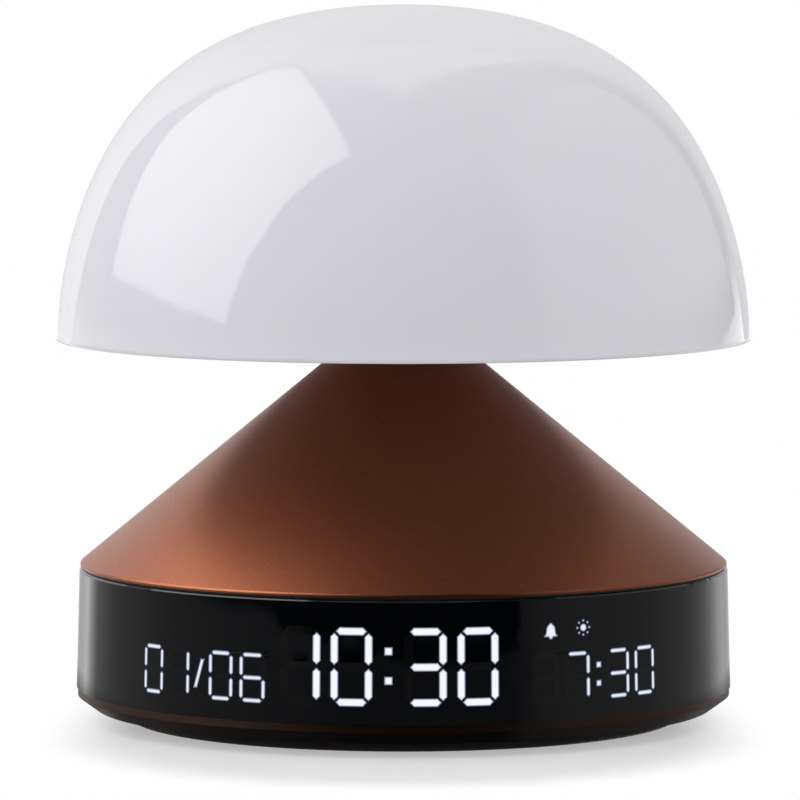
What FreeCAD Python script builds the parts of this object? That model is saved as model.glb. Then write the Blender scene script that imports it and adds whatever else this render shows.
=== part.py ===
import FreeCAD, Part
import math
import os
import re

import Sketcher

# Sunrise alarm clock, in millimetres.
# Up is +Z, the display faces -Y, and the origin is at the middle of the underside.
# A translucent shade sits on a sprung hub and is pressed to snooze. The hub slides in a bush
# at the top of a conical base, which stands on a display band, a tray and a foot.

Vector = FreeCAD.Vector
doc = FreeCAD.newDocument("sunrise_alarm_clock")
pieces = []

# Driving sizes: name, value, what it measures.
SIZES = (
    ("shade_radius", 60.0, "outside radius of the shade at its rim"),
    ("shade_height", 57.3, "height of the shade from rim to crown"),
    ("shade_side_reach", 36.5, "how far the side keeps its direction before it turns in"),
    ("shade_side_lean", 3.5, "how far the side leans in over that reach"),
    ("shade_crown_reach", 39.7, "how far the crown stays level from the axis"),
    ("shade_wall", 2.4, "wall of the shade"),
    ("shade_skirt_wall", 2.2, "wall of the shade at its rim"),
    ("rim_round", 0.7, "rounding of the rim's outer edge"),
    ("rim_drop", 3.6, "how far the rim hangs below the floor of the shade"),
    ("floor_thickness", 2.0, "thickness of the shade's floor"),
    ("floor_boss_height", 1.5, "rise of the boss in the middle of the floor"),
    ("floor_boss_margin", 1.5, "how much wider the boss is than the hub's flange"),
    ("hub_radius", 7.0, "outside radius of the hub's tube"),
    ("hub_wall", 2.5, "wall of the hub's tube"),
    ("hub_flange_radius", 16.0, "radius of the hub's flange"),
    ("hub_flange_thickness", 2.0, "thickness of the hub's flange"),
    ("hub_end_thickness", 2.0, "thickness of the hub's closed end"),
    ("hub_tail", 3.5, "length of the hub below its retaining clip"),
    ("hub_bolt_radius", 11.0, "circle that the screws of the hub and lamp board lie on"),
    ("hub_bolt_count", 3, "screws that hold the hub, and as many that hold the lamp board"),
    ("hub_screw_grip", 2.4, "how deep the hub's screws go into the shade's floor"),
    ("floor_skin", 0.5, "floor left under the holes of those screws"),
    ("lead_slot_width", 3.0, "width of the slot that the lamp leads leave through"),
    ("lead_window_lift", 2.0, "height of the tower's lead window above its flange"),
    ("lead_window_height", 6.0, "height of that window"),
    ("pin_radius", 1.2, "radius of the pin that works the snooze switch"),
    ("clip_thickness", 0.8, "thickness of the retaining clip"),
    ("clip_rim", 1.5, "how far the clip stands out of the hub"),
    ("clip_groove", 0.7, "depth of the clip's groove"),
    ("clip_mouth", 7.0, "opening of the retaining clip"),
    ("lamp_board_radius", 26.0, "radius of the lamp board"),
    ("lamp_board_thickness", 1.6, "thickness of the lamp board"),
    ("lamp_count", 12, "lamps on the lamp board"),
    ("lamp_ring_radius", 21.0, "circle that the lamps lie on"),
    ("lamp_size", 3.5, "side of one lamp"),
    ("lamp_height", 0.8, "height of one lamp"),
    ("running_fit", 0.06, "clearance all round a sliding tube"),
    ("slip_fit", 0.1, "clearance all round a fixed fit"),
    ("press_travel", 1.0, "travel of the shade when it is pressed"),
    ("press_clearance", 1.25, "room left under the shade's floor when it is pressed"),
    ("switch_clearance", 0.15, "room left over a switch at the end of its key's travel"),
    ("bush_wall", 1.8, "wall of the neck bush"),
    ("bush_flange_width", 1.0, "how far the bush's flange stands out"),
    ("bush_flange_thickness", 1.2, "thickness of the bush's flange"),
    ("bush_tail", 0.5, "length of the bush below its nut"),
    ("nut_wall", 2.0, "wall of the neck nut"),
    ("nut_thickness", 2.5, "thickness of the neck nut"),
    ("nut_notch", 2.4, "width of the notches that the nut is tightened by"),
    ("nut_notch_count", 6, "those notches"),
    ("neck_radius", 10.5, "outside radius of the cone's collar"),
    ("collar_height", 1.5, "height of the cone's collar"),
    ("cone_height", 37.0, "height of the cone from its lip to its collar"),
    ("cone_wall", 1.5, "wall of the cone"),
    ("lip_radius", 55.6, "outside radius of the cone's lip"),
    ("lip_height", 0.5, "height of the cone's lip"),
    ("lip_round", 0.45, "rounding between the lip and the flank"),
    ("seat_depth", 2.5, "thickness of the cone's top, which the tower seats against"),
    ("spigot_depth", 1.5, "depth of the rings that centre the display band"),
    ("spigot_wall", 1.2, "wall of those rings"),
    ("tower_top", 2.0, "thickness of the tower's top"),
    ("tower_wall", 2.0, "wall of the tower"),
    ("tower_bore", 11.5, "inside radius of the tower"),
    ("tower_flange_width", 6.5, "how far the tower's flange stands out"),
    ("tower_flange_thickness", 2.0, "thickness of the tower's flange"),
    ("tower_gap", 0.3, "gap between the tower's top and the cone's flank"),
    ("tower_bolt_count", 3, "screws that hold the tower"),
    ("spring_length", 10.0, "length of the spring at rest"),
    ("spring_wire_radius", 0.5, "radius of the spring's wire"),
    ("spring_turns", 5, "turns of the spring"),
    ("snooze_board_radius", 4.8, "radius of the snooze switch's board"),
    ("snooze_board_sink", 1.5, "depth of the recess that holds that board"),
    ("snooze_switch_size", 5.2, "side of the snooze switch"),
    ("switch_body_height", 1.5, "height of a switch without its plunger"),
    ("switch_plunger_height", 0.5, "height of a switch's plunger"),
    ("switch_plunger_radius", 1.2, "radius of a switch's plunger"),
    ("board_thickness", 1.2, "thickness of the circuit boards"),
    ("gasket_thickness", 0.35, "thickness of the gasket between band and cone"),
    ("gasket_inset", 0.5, "how far the gasket sits back from the band's face"),
    ("band_height", 20.5, "height of the display band"),
    ("band_bottom_radius", 56.3, "outside radius of the band at its lower edge"),
    ("band_top_radius", 55.75, "outside radius of the band at its upper edge"),
    ("band_wall", 2.0, "wall of the band at its upper edge"),
    ("band_bevel", 0.35, "bevel along the band's upper edge"),
    ("digit_base", 3.0, "height of the digits' feet above the band's lower edge"),
    ("time_height", 13.1, "height of the time's digits"),
    ("time_width", 7.1, "width of the time's digits"),
    ("time_stroke", 1.4, "width of their segments"),
    ("time_pitch", 8.9, "angle from one digit to the next"),
    ("time_split", 12.55, "angle between hours and minutes"),
    ("time_centre", -2.53, "angle of the time's middle, from the front towards +X"),
    ("date_height", 8.3, "height of the date's digits"),
    ("date_width", 4.9, "width of the date's digits"),
    ("date_stroke", 0.78, "width of their segments"),
    ("date_pitch", 6.2, "angle from one digit to the next"),
    ("date_split", 9.1, "angle between day and month"),
    ("date_centre", -37.2, "angle of the date's middle"),
    ("alarm_height", 8.3, "height of the alarm's digits"),
    ("alarm_width", 4.9, "width of the alarm's digits"),
    ("alarm_stroke", 0.78, "width of their segments"),
    ("alarm_pitch", 6.2, "angle from one digit to the next"),
    ("alarm_split", 8.6, "angle between hours and minutes"),
    ("alarm_centre", 35.2, "angle of the alarm's middle"),
    ("segment_gap", 0.2, "gap from a segment's point to the corner of its digit"),
    ("slash_foot", 0.22, "foot of the slash, as a share of the digits' height"),
    ("slash_head", 0.80, "head of the slash, as a share of the digits' height"),
    ("slash_lean", 0.15, "lean of the slash to each side, as a share of the digits' width"),
    ("colon_low", 0.33, "foot of the colon's lower dot, as a share of the digits' height"),
    ("colon_high", 0.70, "foot of the colon's upper dot, as a share of the digits' height"),
    ("mask_wall", 2.0, "wall of the mask that parts the light of the segments"),
    ("mask_span", 110.0, "angle that the mask goes round"),
    ("display_board_thickness", 1.0, "thickness of the curved display board"),
    ("segment_lamp_height", 0.6, "height of the lamp behind a segment"),
    ("segment_lamp_size", 0.7, "side of the lamp behind a segment"),
    ("foot_radius", 47.3, "outside radius of the foot ring"),
    ("foot_width", 7.0, "width of the foot ring"),
    ("foot_height", 2.1, "height of the foot ring below the tray"),
    ("foot_sink", 0.6, "how far the foot ring is sunk into the tray"),
    ("foot_gap_width", 9.0, "width of the air gaps at the back of the foot ring"),
    ("foot_gap_height", 1.3, "height of those gaps"),
    ("foot_round", 0.4, "rounding of the foot ring's lower edges"),
    ("tray_radius", 56.1, "outside radius of the tray"),
    ("tray_height", 3.5, "height of the tray from underside to rim"),
    ("tray_chamfer_width", 2.95, "width of the chamfer round the tray"),
    ("tray_chamfer_height", 2.15, "height of that chamfer"),
    ("tray_floor", 2.0, "thickness of the tray's floor"),
    ("grille_hole_radius", 1.4, "radius of a hole of the speaker grille"),
    ("grille_pitch", 5.2, "distance between rings of grille holes"),
    ("grille_count", 6, "holes of the grille's first ring, and twice as many in the second"),
    ("speaker_radius", 20.0, "radius of the speaker's flange"),
    ("speaker_gasket_width", 2.5, "width of the speaker's gasket"),
    ("speaker_seat", 2.0, "width of the flange that the paper cone is glued to"),
    ("speaker_shoulder", 1.0, "width of the flange that stands out of the basket"),
    ("paper_land", 1.0, "width of the paper cone's flat rim"),
    ("speaker_depth", 11.0, "depth of the speaker with its magnet"),
    ("speaker_wall", 1.0, "wall of the speaker's basket"),
    ("coil_radius", 5.5, "radius of the speaker's voice coil"),
    ("paper", 0.4, "thickness of the speaker's paper cone"),
    ("cone_lift", 2.4, "rise of the paper cone to its coil"),
    ("cap_lift", 1.6, "rise of the dust cap's middle"),
    ("magnet_radius", 11.0, "radius of the speaker's magnet"),
    ("magnet_height", 5.0, "height of the speaker's magnet"),
    ("speaker_gasket_height", 0.6, "thickness of the speaker's gasket"),
    ("speaker_fence_wall", 1.2, "wall of the ring that centres the speaker"),
    ("speaker_fence_height", 2.5, "height of that ring"),
    ("bay_height", 14.9, "height of the speaker bay under the chassis plate"),
    ("chassis_radius", 49.6, "radius of the chassis plate"),
    ("chassis_plate", 1.6, "thickness of the chassis plate"),
    ("post_radius", 3.6, "radius of the chassis posts"),
    ("post_circle", 34.0, "circle that the chassis posts lie on"),
    ("post_count", 4, "chassis posts, and standoffs on the chassis plate"),
    ("base_screw_grip", 6.0, "how deep the base screws go into the posts"),
    ("tray_boss_height", 2.0, "height of the tray's screw bosses"),
    ("spring_post_margin", 0.9, "how far the spring's post stays clear of the tower"),
    ("main_board_radius", 44.0, "radius of the main board"),
    ("main_board_lift", 4.0, "height of the main board above the chassis plate"),
    ("main_board_bore", 21.5, "radius of the hole that the tower passes"),
    ("standoff_radius", 2.4, "radius of the main board's standoffs"),
    ("standoff_circle", 40.5, "circle that those standoffs lie on"),
    ("standoff_hole", 3.0, "depth of the standoffs' holes"),
    ("standoff_grip", 2.5, "how deep the main board's screws go into the standoffs"),
    ("capacitor_radius", 2.5, "radius of the main board's capacitors"),
    ("capacitor_height", 5.4, "height of those capacitors"),
    ("cell_x", 30.0, "place of the backup cell along X"),
    ("cell_y", 8.0, "place of the backup cell along Y"),
    ("cell_radius", 8.0, "radius of the backup cell"),
    ("cell_thickness", 3.2, "thickness of the backup cell"),
    ("holder_wall", 1.0, "wall of the cell's holder"),
    ("holder_reach", 2.24, "how far the holder's wall reaches up the cell"),
    ("screw_radius", 1.25, "radius of a large screw's shank"),
    ("screw_head_radius", 2.4, "radius of a large screw's head"),
    ("screw_head_height", 1.2, "height of a large screw's head"),
    ("small_screw_radius", 0.9, "radius of a small screw's shank"),
    ("small_head_radius", 1.7, "radius of a small screw's head"),
    ("small_head_height", 0.8, "height of a small screw's head"),
    ("panel_half_width", 30.0, "half the width of the rear panel's face"),
    ("panel_margin", 2.8, "band left above and below the rear panel"),
    ("panel_round", 2.0, "rounding of the rear panel's corners"),
    ("panel_flange", 1.1, "how far the panel's flange reaches behind the band"),
    ("panel_wall", 1.5, "thickness of the rear panel's flange"),
    ("button_radius", 2.6, "radius of a button"),
    ("button_pitch", 10.5, "distance between buttons"),
    ("button_height", 12.8, "height of the buttons above the band's lower edge"),
    ("button_proud", 0.75, "how far a button stands out of the band"),
    ("button_travel", 0.6, "travel of a button"),
    ("button_gap", 0.15, "gap round a button"),
    ("button_flange_width", 0.9, "how far a button's flange stands out"),
    ("button_flange_thickness", 1.0, "thickness of a button's flange"),
    ("button_stem_radius", 1.2, "radius of a button's stem"),
    ("button_switch_size", 4.2, "side of a button's switch"),
    ("rear_board_depth", 41.5, "distance of the rear board's face from the axis"),
    ("rear_board_half_width", 25.0, "half the width of the rear board"),
    ("rear_board_height", 15.0, "height of the rear board"),
    ("rear_post_radius", 2.2, "radius of the posts that carry the rear board"),
    ("rear_post_pitch", 15.75, "distance of those posts from the middle"),
    ("rear_post_sink", 0.3, "how far those posts run into the panel's flange"),
    ("rear_screw_grip", 3.5, "how deep the rear board's screws go into the posts"),
    ("rear_screw_hole", 4.0, "depth of the holes of those screws"),
    ("rear_flat_gap", 0.5, "gap between the chassis plate and the heads of those screws"),
    ("socket_width", 8.94, "width of the power socket's shell"),
    ("socket_height", 3.26, "height of the power socket's shell"),
    ("socket_wall", 0.35, "wall of that shell"),
    ("socket_depth", 6.2, "depth of the socket's mouth"),
    ("socket_lift", 5.9, "height of the socket's middle above the band's lower edge"),
    ("socket_recess", 0.6, "how far the socket's mouth sits back from the band"),
    ("tongue_width", 6.69, "width of the socket's tongue"),
    ("tongue_thickness", 0.7, "thickness of the socket's tongue"),
    ("tongue_sink", 0.7, "how far the tongue ends behind the socket's mouth"),
    ("overcut", 1.0, "how far a cutting shape reaches past what it cuts"),
)

# Levels and radii that follow from the driving sizes: name, formula.
PLACES = (
    ("tray_floor_top", "foot_height + tray_floor"),
    ("band_bottom", "foot_height + tray_height"),
    ("band_top", "band_bottom + band_height"),
    ("band_bore", "band_top_radius - band_wall"),
    ("cone_bottom", "band_top + gasket_thickness"),
    ("lip_top", "cone_bottom + lip_height"),
    ("cone_top", "lip_top + cone_height"),
    ("collar_top", "cone_top + collar_height"),
    ("cone_slope", "cone_height / (lip_radius - neck_radius)"),
    ("cone_wall_drop", "cone_wall * sqrt(1 + cone_slope * cone_slope)"),
    ("seat_level", "cone_top - seat_depth"),
    ("seat_radius", "neck_radius + (seat_depth - cone_wall_drop) / cone_slope"),
    ("spigot_radius", "band_bore - slip_fit"),
    ("spigot_bore", "spigot_radius - spigot_wall"),
    ("cone_spigot_bottom", "cone_bottom - spigot_depth"),
    ("tray_spigot_top", "band_bottom + spigot_depth"),
    ("bush_top", "collar_top + bush_flange_thickness"),
    ("bush_bore", "hub_radius + running_fit"),
    ("bush_radius", "bush_bore + bush_wall"),
    ("collar_bore", "bush_radius + slip_fit"),
    ("tower_roof", "seat_level - tower_top"),
    ("nut_radius", "bush_radius + nut_wall"),
    ("nut_bottom", "tower_roof - nut_thickness"),
    ("bush_bottom", "nut_bottom - bush_tail"),
    ("clip_top", "bush_bottom - slip_fit"),
    ("clip_bottom", "clip_top - clip_thickness"),
    ("hub_bottom", "clip_bottom - hub_tail"),
    ("floor_bottom", "bush_top + press_travel + press_clearance"),
    ("floor_top", "floor_bottom + floor_thickness"),
    ("floor_boss_radius", "hub_flange_radius + floor_boss_margin"),
    ("hub_flange_bottom", "floor_top + floor_boss_height"),
    ("lamp_board_bottom", "hub_flange_bottom + hub_flange_thickness"),
    ("lamp_board_top", "lamp_board_bottom + lamp_board_thickness"),
    ("rim_level", "floor_bottom - rim_drop"),
    ("shade_top", "rim_level + shade_height"),
    ("shade_bore", "shade_radius - shade_wall"),
    ("shade_ceiling", "shade_top - shade_wall"),
    ("shade_seat_radius", "shade_radius - shade_skirt_wall"),
    ("side_level", "rim_level + shade_side_reach"),
    ("inner_scale", "shade_bore / shade_radius"),
    ("tower_radius", "tower_bore + tower_wall"),
    ("tower_flange_radius", "tower_radius + tower_flange_width"),
    ("tower_bolt_radius", "tower_radius + tower_flange_width / 2"),
    ("spring_seat", "hub_bottom - spring_length"),
    ("spring_radius", "hub_radius - hub_wall / 2"),
    ("spring_post_radius", "tower_bore - spring_post_margin"),
    ("snooze_board_bottom", "spring_seat - snooze_board_sink"),
    ("snooze_board_top", "snooze_board_bottom + board_thickness"),
    ("snooze_switch_top", "snooze_board_top + switch_body_height + switch_plunger_height"),
    ("pin_bottom", "snooze_switch_top + press_travel + switch_clearance"),
    ("chassis_bottom", "tray_floor_top + bay_height"),
    ("chassis_top", "chassis_bottom + chassis_plate"),
    ("main_board_bottom", "chassis_top + main_board_lift"),
    ("main_board_top", "main_board_bottom + board_thickness"),
    ("foot_bore", "foot_radius - foot_width"),
    ("mask_radius", "band_bore - slip_fit"),
    ("mask_bore", "mask_radius - mask_wall"),
    ("mask_top", "cone_spigot_bottom - slip_fit"),
    ("guide_back", "mask_bore + segment_lamp_height + slip_fit"),
    ("digit_level", "band_bottom + digit_base"),
    ("speaker_flange_bottom", "tray_floor_top + speaker_gasket_height"),
    ("speaker_flange_top", "speaker_flange_bottom + speaker_wall"),
    ("magnet_top", "speaker_flange_bottom + speaker_depth"),
    ("magnet_bottom", "magnet_top - magnet_height"),
    ("panel_bottom", "band_bottom + panel_margin"),
    ("panel_top", "band_top - panel_margin"),
    ("panel_bore", "mask_radius - panel_wall"),
    ("button_level", "band_bottom + button_height"),
    ("socket_level", "band_bottom + socket_lift"),
    ("socket_mouth", "band_top_radius - socket_recess"),
    ("rear_cut_start", "rear_board_depth / 2"),
    ("rear_cut_end", "band_bottom_radius + overcut"),
    ("rear_head_face", "rear_board_depth - board_thickness"),
    ("rear_board_bottom", "tray_spigot_top + slip_fit"),
    ("rear_board_top", "rear_board_bottom + rear_board_height"),
    ("button_switch_top", "rear_board_depth + switch_body_height + switch_plunger_height"),
    ("button_stem_end", "button_switch_top + button_travel + switch_clearance"),
    ("segment_lamp_top", "mask_bore + segment_lamp_height"),
)

# The segments that each sign of the display lights.
LIT_SEGMENTS = {
    "0": "abcdef",
    "1": "bc",
    "3": "abcdg",
    "6": "acdefg",
    "7": "abc",
    " ": "",
}

# The two corners of a digit that each segment joins, in half widths and half heights.
SEGMENT_ENDS = {
    "a": ((-1, 1), (1, 1)),
    "b": ((1, 0), (1, 1)),
    "c": ((1, -1), (1, 0)),
    "d": ((-1, -1), (1, -1)),
    "e": ((-1, -1), (-1, 0)),
    "f": ((-1, 0), (-1, 1)),
    "g": ((-1, 0), (1, 0)),
}

# Each group of digits with what it shows: two digits, a divider and two digits.
DISPLAY_TEXT = {
    "date": ("01", "slash", "06"),
    "time": ("10", "colon", "30"),
    "alarm": (" 7", "colon", "30"),
}

# The rear buttons from -X to +X.
BUTTON_NAMES = ("button_alarm", "button_minus", "button_set", "button_plus", "button_light")

# The square components of the main board: name, place along X and Y, width, depth, height.
COMPONENTS = (
    ("controller", -31.0, -14.0, 10.0, 10.0, 1.4),
    ("radio", -18.0, 27.0, 15.0, 11.0, 2.4),
    ("amplifier", 8.0, -32.0, 6.0, 6.0, 1.2),
    ("display_connector", -6.0, -33.5, 9.0, 4.0, 3.0),
    ("lamp_connector", 0.0, 27.0, 6.0, 4.0, 4.5),
    ("rear_connector", 14.0, 34.0, 11.0, 4.0, 3.0),
    ("speaker_connector", -31.0, 8.0, 5.0, 4.0, 4.5),
    ("coil", 24.0, -24.0, 6.0, 6.0, 3.0),
)

# The places of its capacitors along X and Y.
CAPACITORS = ((34.0, -12.0), (26.5, -14.0))

# Angles of the air gaps in the foot ring, from the front.
FOOT_GAP_ANGLES = ("150", "180", "210")

# Length of a line that a shape is turned about.
AXIS_LENGTH = "10"

# How closely an edge must match the radius and height that it is looked for by.
EDGE_MATCH = 1e-4

# The least volume that a cut must take away, in cubic millimetres.
LEAST_CUT = 1e-6


def make_sheets():
    """Fill the sheet of driving sizes and the sheet of places that follow from them."""
    sizes = doc.addObject("Spreadsheet::Sheet", "sizes")
    for row, (name, value, meaning) in enumerate(SIZES, start=1):
        sizes.set(f"A{row}", meaning)
        sizes.set(f"B{row}", str(value))
        sizes.setAlias(f"B{row}", name)
    places = doc.addObject("Spreadsheet::Sheet", "places")
    for row, (name, _) in enumerate(PLACES, start=1):
        places.setAlias(f"B{row}", name)
    for row, (name, formula) in enumerate(PLACES, start=1):
        places.set(f"A{row}", name.replace("_", " "))
        places.set(f"B{row}", "=" + link(formula))
    doc.recompute()
    return sizes, places


SIZE_NAMES = {name for name, _, _ in SIZES}
PLACE_NAMES = {name for name, _ in PLACES}


def link(formula):
    """Give each name in a formula the sheet that it is kept in."""

    def with_sheet(match):
        word = match.group(0)
        if word in SIZE_NAMES:
            return "sizes." + word
        if word in PLACE_NAMES:
            return "places." + word
        return word

    return re.sub(r"[a-z_]+", with_sheet, str(formula))


sizes, places = make_sheets()


def size(name):
    """Read one size or place as a number."""
    sheet = sizes if name in SIZE_NAMES else places
    return float(sheet.get(name))


def keep(piece):
    """Put a finished piece on the list of pieces to be written."""
    pieces.append(piece)
    return piece


def new_body(label):
    """Start a body, which may hold several equal solids."""
    body = doc.addObject("PartDesign::Body", label)
    body.Label = label
    body.AllowCompound = True
    return body


def origin_part(body, role):
    """Find one plane or axis of a body's origin."""
    return next(part for part in body.Origin.OriginFeatures if part.Role == role)


def new_sketch(body, name, plane, offset="0", spin="0"):
    """Start a sketch on an origin plane, moved along its normal and spun about the upright axis."""
    sketch = body.newObject("Sketcher::SketchObject", name)
    sketch.AttachmentSupport = (origin_part(body, plane), [""])
    sketch.MapMode = "FlatFace"
    offset, spin = link(offset), link(spin)
    if plane == "XY_Plane":
        sketch.setExpression("AttachmentOffset.Base.z", offset)
        return sketch
    sketch.AttachmentOffset = FreeCAD.Placement(Vector(), FreeCAD.Rotation(Vector(0, 1, 0), 1))
    sketch.setExpression("AttachmentOffset.Rotation.Angle", spin)
    sketch.setExpression("AttachmentOffset.Base.x", f"({offset}) * sin({spin})")
    sketch.setExpression("AttachmentOffset.Base.z", f"({offset}) * cos({spin})")
    return sketch


def pin_point(sketch, shape, point, across, up):
    """Hold one point of a sketch's shape at two formulas measured from the origin."""
    for kind, formula in (("DistanceX", across), ("DistanceY", up)):
        index = sketch.addConstraint(Sketcher.Constraint(kind, -1, 1, shape, point, 1.0))
        sketch.setExpression(f"Constraints[{index}]", link(formula))


def draw_polygon(sketch, corners):
    """Draw a closed outline whose corners are pairs of formulas."""
    count = len(corners)
    rough = []
    for index in range(count):
        angle = 2 * math.pi * index / count
        rough.append(Vector(math.cos(angle), math.sin(angle), 0))
    first = sketch.GeometryCount
    for index in range(count):
        sketch.addGeometry(Part.LineSegment(rough[index], rough[(index + 1) % count]), False)
    for index in range(count):
        following = first + (index + 1) % count
        sketch.addConstraint(Sketcher.Constraint("Coincident", first + index, 2, following, 1))
    for index, (across, up) in enumerate(corners):
        pin_point(sketch, first + index, 1, across, up)


def draw_circle(sketch, across, up, radius):
    """Draw a circle whose middle and radius are formulas."""
    circle = sketch.addGeometry(Part.Circle(Vector(), Vector(0, 0, 1), 1.0), False)
    pin_point(sketch, circle, 3, across, up)
    index = sketch.addConstraint(Sketcher.Constraint("Radius", circle, 1.0))
    sketch.setExpression(f"Constraints[{index}]", link(radius))


def draw_curve(sketch, poles):
    """Draw a cubic curve whose four poles are pairs of formulas."""
    rough = [Vector(1, 0, 0), Vector(1, 1, 0), Vector(0.5, 2, 0), Vector(0, 2, 0)]
    curve = Part.BSplineCurve()
    curve.buildFromPolesMultsKnots(rough, [4, 4], [0, 1], False, 3, [1, 1, 1, 1])
    spline = sketch.addGeometry(curve, False)
    marks = []
    for index, (across, up) in enumerate(poles):
        mark = sketch.addGeometry(Part.Circle(rough[index], Vector(0, 0, 1), 1.0), True)
        kind = "InternalAlignment:Sketcher::BSplineControlPoint"
        sketch.addConstraint(Sketcher.Constraint(kind, mark, 3, spline, index))
        pin_point(sketch, mark, 3, across, up)
        marks.append(mark)
    sketch.addConstraint(Sketcher.Constraint("Weight", marks[0], 1.0))
    for mark in marks[1:]:
        sketch.addConstraint(Sketcher.Constraint("Equal", marks[0], mark))
    return spline


def draw_line(sketch, start, end, construction=False):
    """Draw a line between two pairs of formulas."""
    line = sketch.addGeometry(Part.LineSegment(Vector(), Vector(1, 1, 0)), construction)
    pin_point(sketch, line, 1, *start)
    pin_point(sketch, line, 2, *end)
    return line


def check_cut(body, feature, before):
    """Make sure that a cut has taken something away."""
    doc.recompute()
    if feature.Shape.isNull() or feature.Shape.Volume > before - LEAST_CUT:
        raise RuntimeError(f"{feature.Name} takes nothing away from {body.Label}")


def volume_of(body):
    """Bring a body up to date and give its volume."""
    doc.recompute()
    return body.Shape.Volume


def box_corners(left, right, low, high):
    """Give the corners of a rectangle between four formulas."""
    return [(left, low), (right, low), (right, high), (left, high)]


def turn(body, name, outline, spin="0", axis=None, cut=False):
    """Turn an outline about the body's upright axis, or about an axis of its own.

    An outline is a list of (distance from the axis, height) formulas. The axis is None,
    ("upright", distance) or ("level", height).
    """
    sketch = new_sketch(body, f"{name}_outline", "XZ_Plane", spin=spin)
    reference = "V_Axis"
    if axis is not None:
        way, value = axis
        start = (value, "0") if way == "upright" else ("0", value)
        end = (value, AXIS_LENGTH) if way == "upright" else (AXIS_LENGTH, value)
        draw_line(sketch, start, end, construction=True)
        reference = "Axis0"
    if callable(outline):
        outline(sketch)
    else:
        draw_polygon(sketch, outline)
    before = volume_of(body) if cut else 0.0
    kind = "PartDesign::Groove" if cut else "PartDesign::Revolution"
    feature = body.newObject(kind, name)
    feature.Profile = sketch
    feature.ReferenceAxis = (sketch, [reference])
    feature.Angle = 360
    if cut:
        check_cut(body, feature, before)
    return feature


def prism(body, name, shapes, start, end, facing="up", spin="0", cut=False):
    """Raise or cut straight-sided shapes between two levels.

    Facing up, the levels are heights. Facing rear, they are distances along +Y. Facing out,
    they are distances from the upright axis, along a direction spun from the front.
    A shape is a list of corners, or ("circle", across, up, radius).
    """
    plane = "XY_Plane" if facing == "up" else "XZ_Plane"
    offset = f"-({start})" if facing == "rear" else start
    sketch = new_sketch(body, f"{name}_outline", plane, offset=offset, spin=spin)
    for shape in shapes:
        if shape[0] == "circle":
            draw_circle(sketch, *shape[1:])
        else:
            draw_polygon(sketch, shape)
    before = volume_of(body) if cut else 0.0
    feature = body.newObject("PartDesign::Pocket" if cut else "PartDesign::Pad", name)
    feature.Profile = sketch
    feature.setExpression("Length", link(f"({end}) - ({start})"))
    feature.Reversed = (facing == "rear") != cut
    if cut:
        check_cut(body, feature, before)
    return feature


def stadium(body, name, half_length, half_height, level, start, end, cut=False):
    """Raise or cut a rounded slot that faces the rear."""
    straight = f"({half_length}) - ({half_height})"
    low, high = f"({level}) - ({half_height})", f"({level}) + ({half_height})"
    middle = box_corners(f"-({straight})", straight, low, high)
    prism(body, f"{name}_middle", [middle], start, end, "rear", cut=cut)
    for side, sign in (("left", "-"), ("right", "")):
        circle = ("circle", f"{sign}({straight})", level, half_height)
        prism(body, f"{name}_{side}", [circle], start, end, "rear", cut=cut)


def around(body, name, features, count):
    """Repeat features evenly about the upright axis."""
    doc.recompute()
    pattern = body.newObject("PartDesign::PolarPattern", name)
    pattern.Originals = features
    pattern.Axis = (origin_part(body, "Z_Axis"), [""])
    pattern.Angle = 360
    pattern.setExpression("Occurrences", link(count))
    body.Tip = pattern
    return pattern


def dress_edges(body, name, kind, amount, circles):
    """Round or bevel the level circular edges at pairs of (radius, height) names."""
    doc.recompute()
    base = body.Tip
    found = []
    for radius, height in circles:
        for index, edge in enumerate(base.Shape.Edges, start=1):
            if edge.Degenerated or not isinstance(edge.Curve, Part.Circle):
                continue
            curve = edge.Curve
            same_radius = abs(curve.Radius - radius) < EDGE_MATCH
            if same_radius and abs(curve.Center.z - height) < EDGE_MATCH:
                found.append(f"Edge{index}")
    if not found:
        raise RuntimeError(f"{name} finds no edge on {body.Label}")
    feature = body.newObject(f"PartDesign::{kind}", name)
    feature.Base = (base, found)
    feature.setExpression("Radius" if kind == "Fillet" else "Size", link(amount))
    return feature


def dress_upright(body, name, amount):
    """Round the edges of a body that run along Y."""
    doc.recompute()
    base = body.Tip
    found = []
    for index, edge in enumerate(base.Shape.Edges, start=1):
        if isinstance(edge.Curve, Part.Line) and abs(edge.Curve.Direction.y) > 1 - EDGE_MATCH:
            found.append(f"Edge{index}")
    feature = body.newObject("PartDesign::Fillet", name)
    feature.Base = (base, found)
    feature.setExpression("Radius", link(amount))
    return feature


def combine(kind, label, base, tool):
    """Join two solids by a boolean: Cut, Common or Fuse."""
    result = doc.addObject(f"Part::{kind}", label)
    result.Label = label
    result.Base = base
    result.Tool = tool
    doc.recompute()
    return result


def screw_outline(prefix, length, flush=False):
    """Give half the section of a screw, beside its own upright axis, with its head's seat at 0.

    A flush screw has a countersunk head, whose rim lies level with the surface.
    """
    radius, head, height = f"{prefix}screw_radius", f"{prefix}head_radius", f"{prefix}head_height"
    if prefix == "":
        head, height = "screw_head_radius", "screw_head_height"
    tip = f"-({length})"
    if flush:
        return [("0", tip), (radius, tip), (radius, f"{radius} - {head}"), (head, "0"), ("0", "0")]
    return [("0", tip), (radius, tip), (radius, "0"), (head, "0"), (head, height), ("0", height)]


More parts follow.
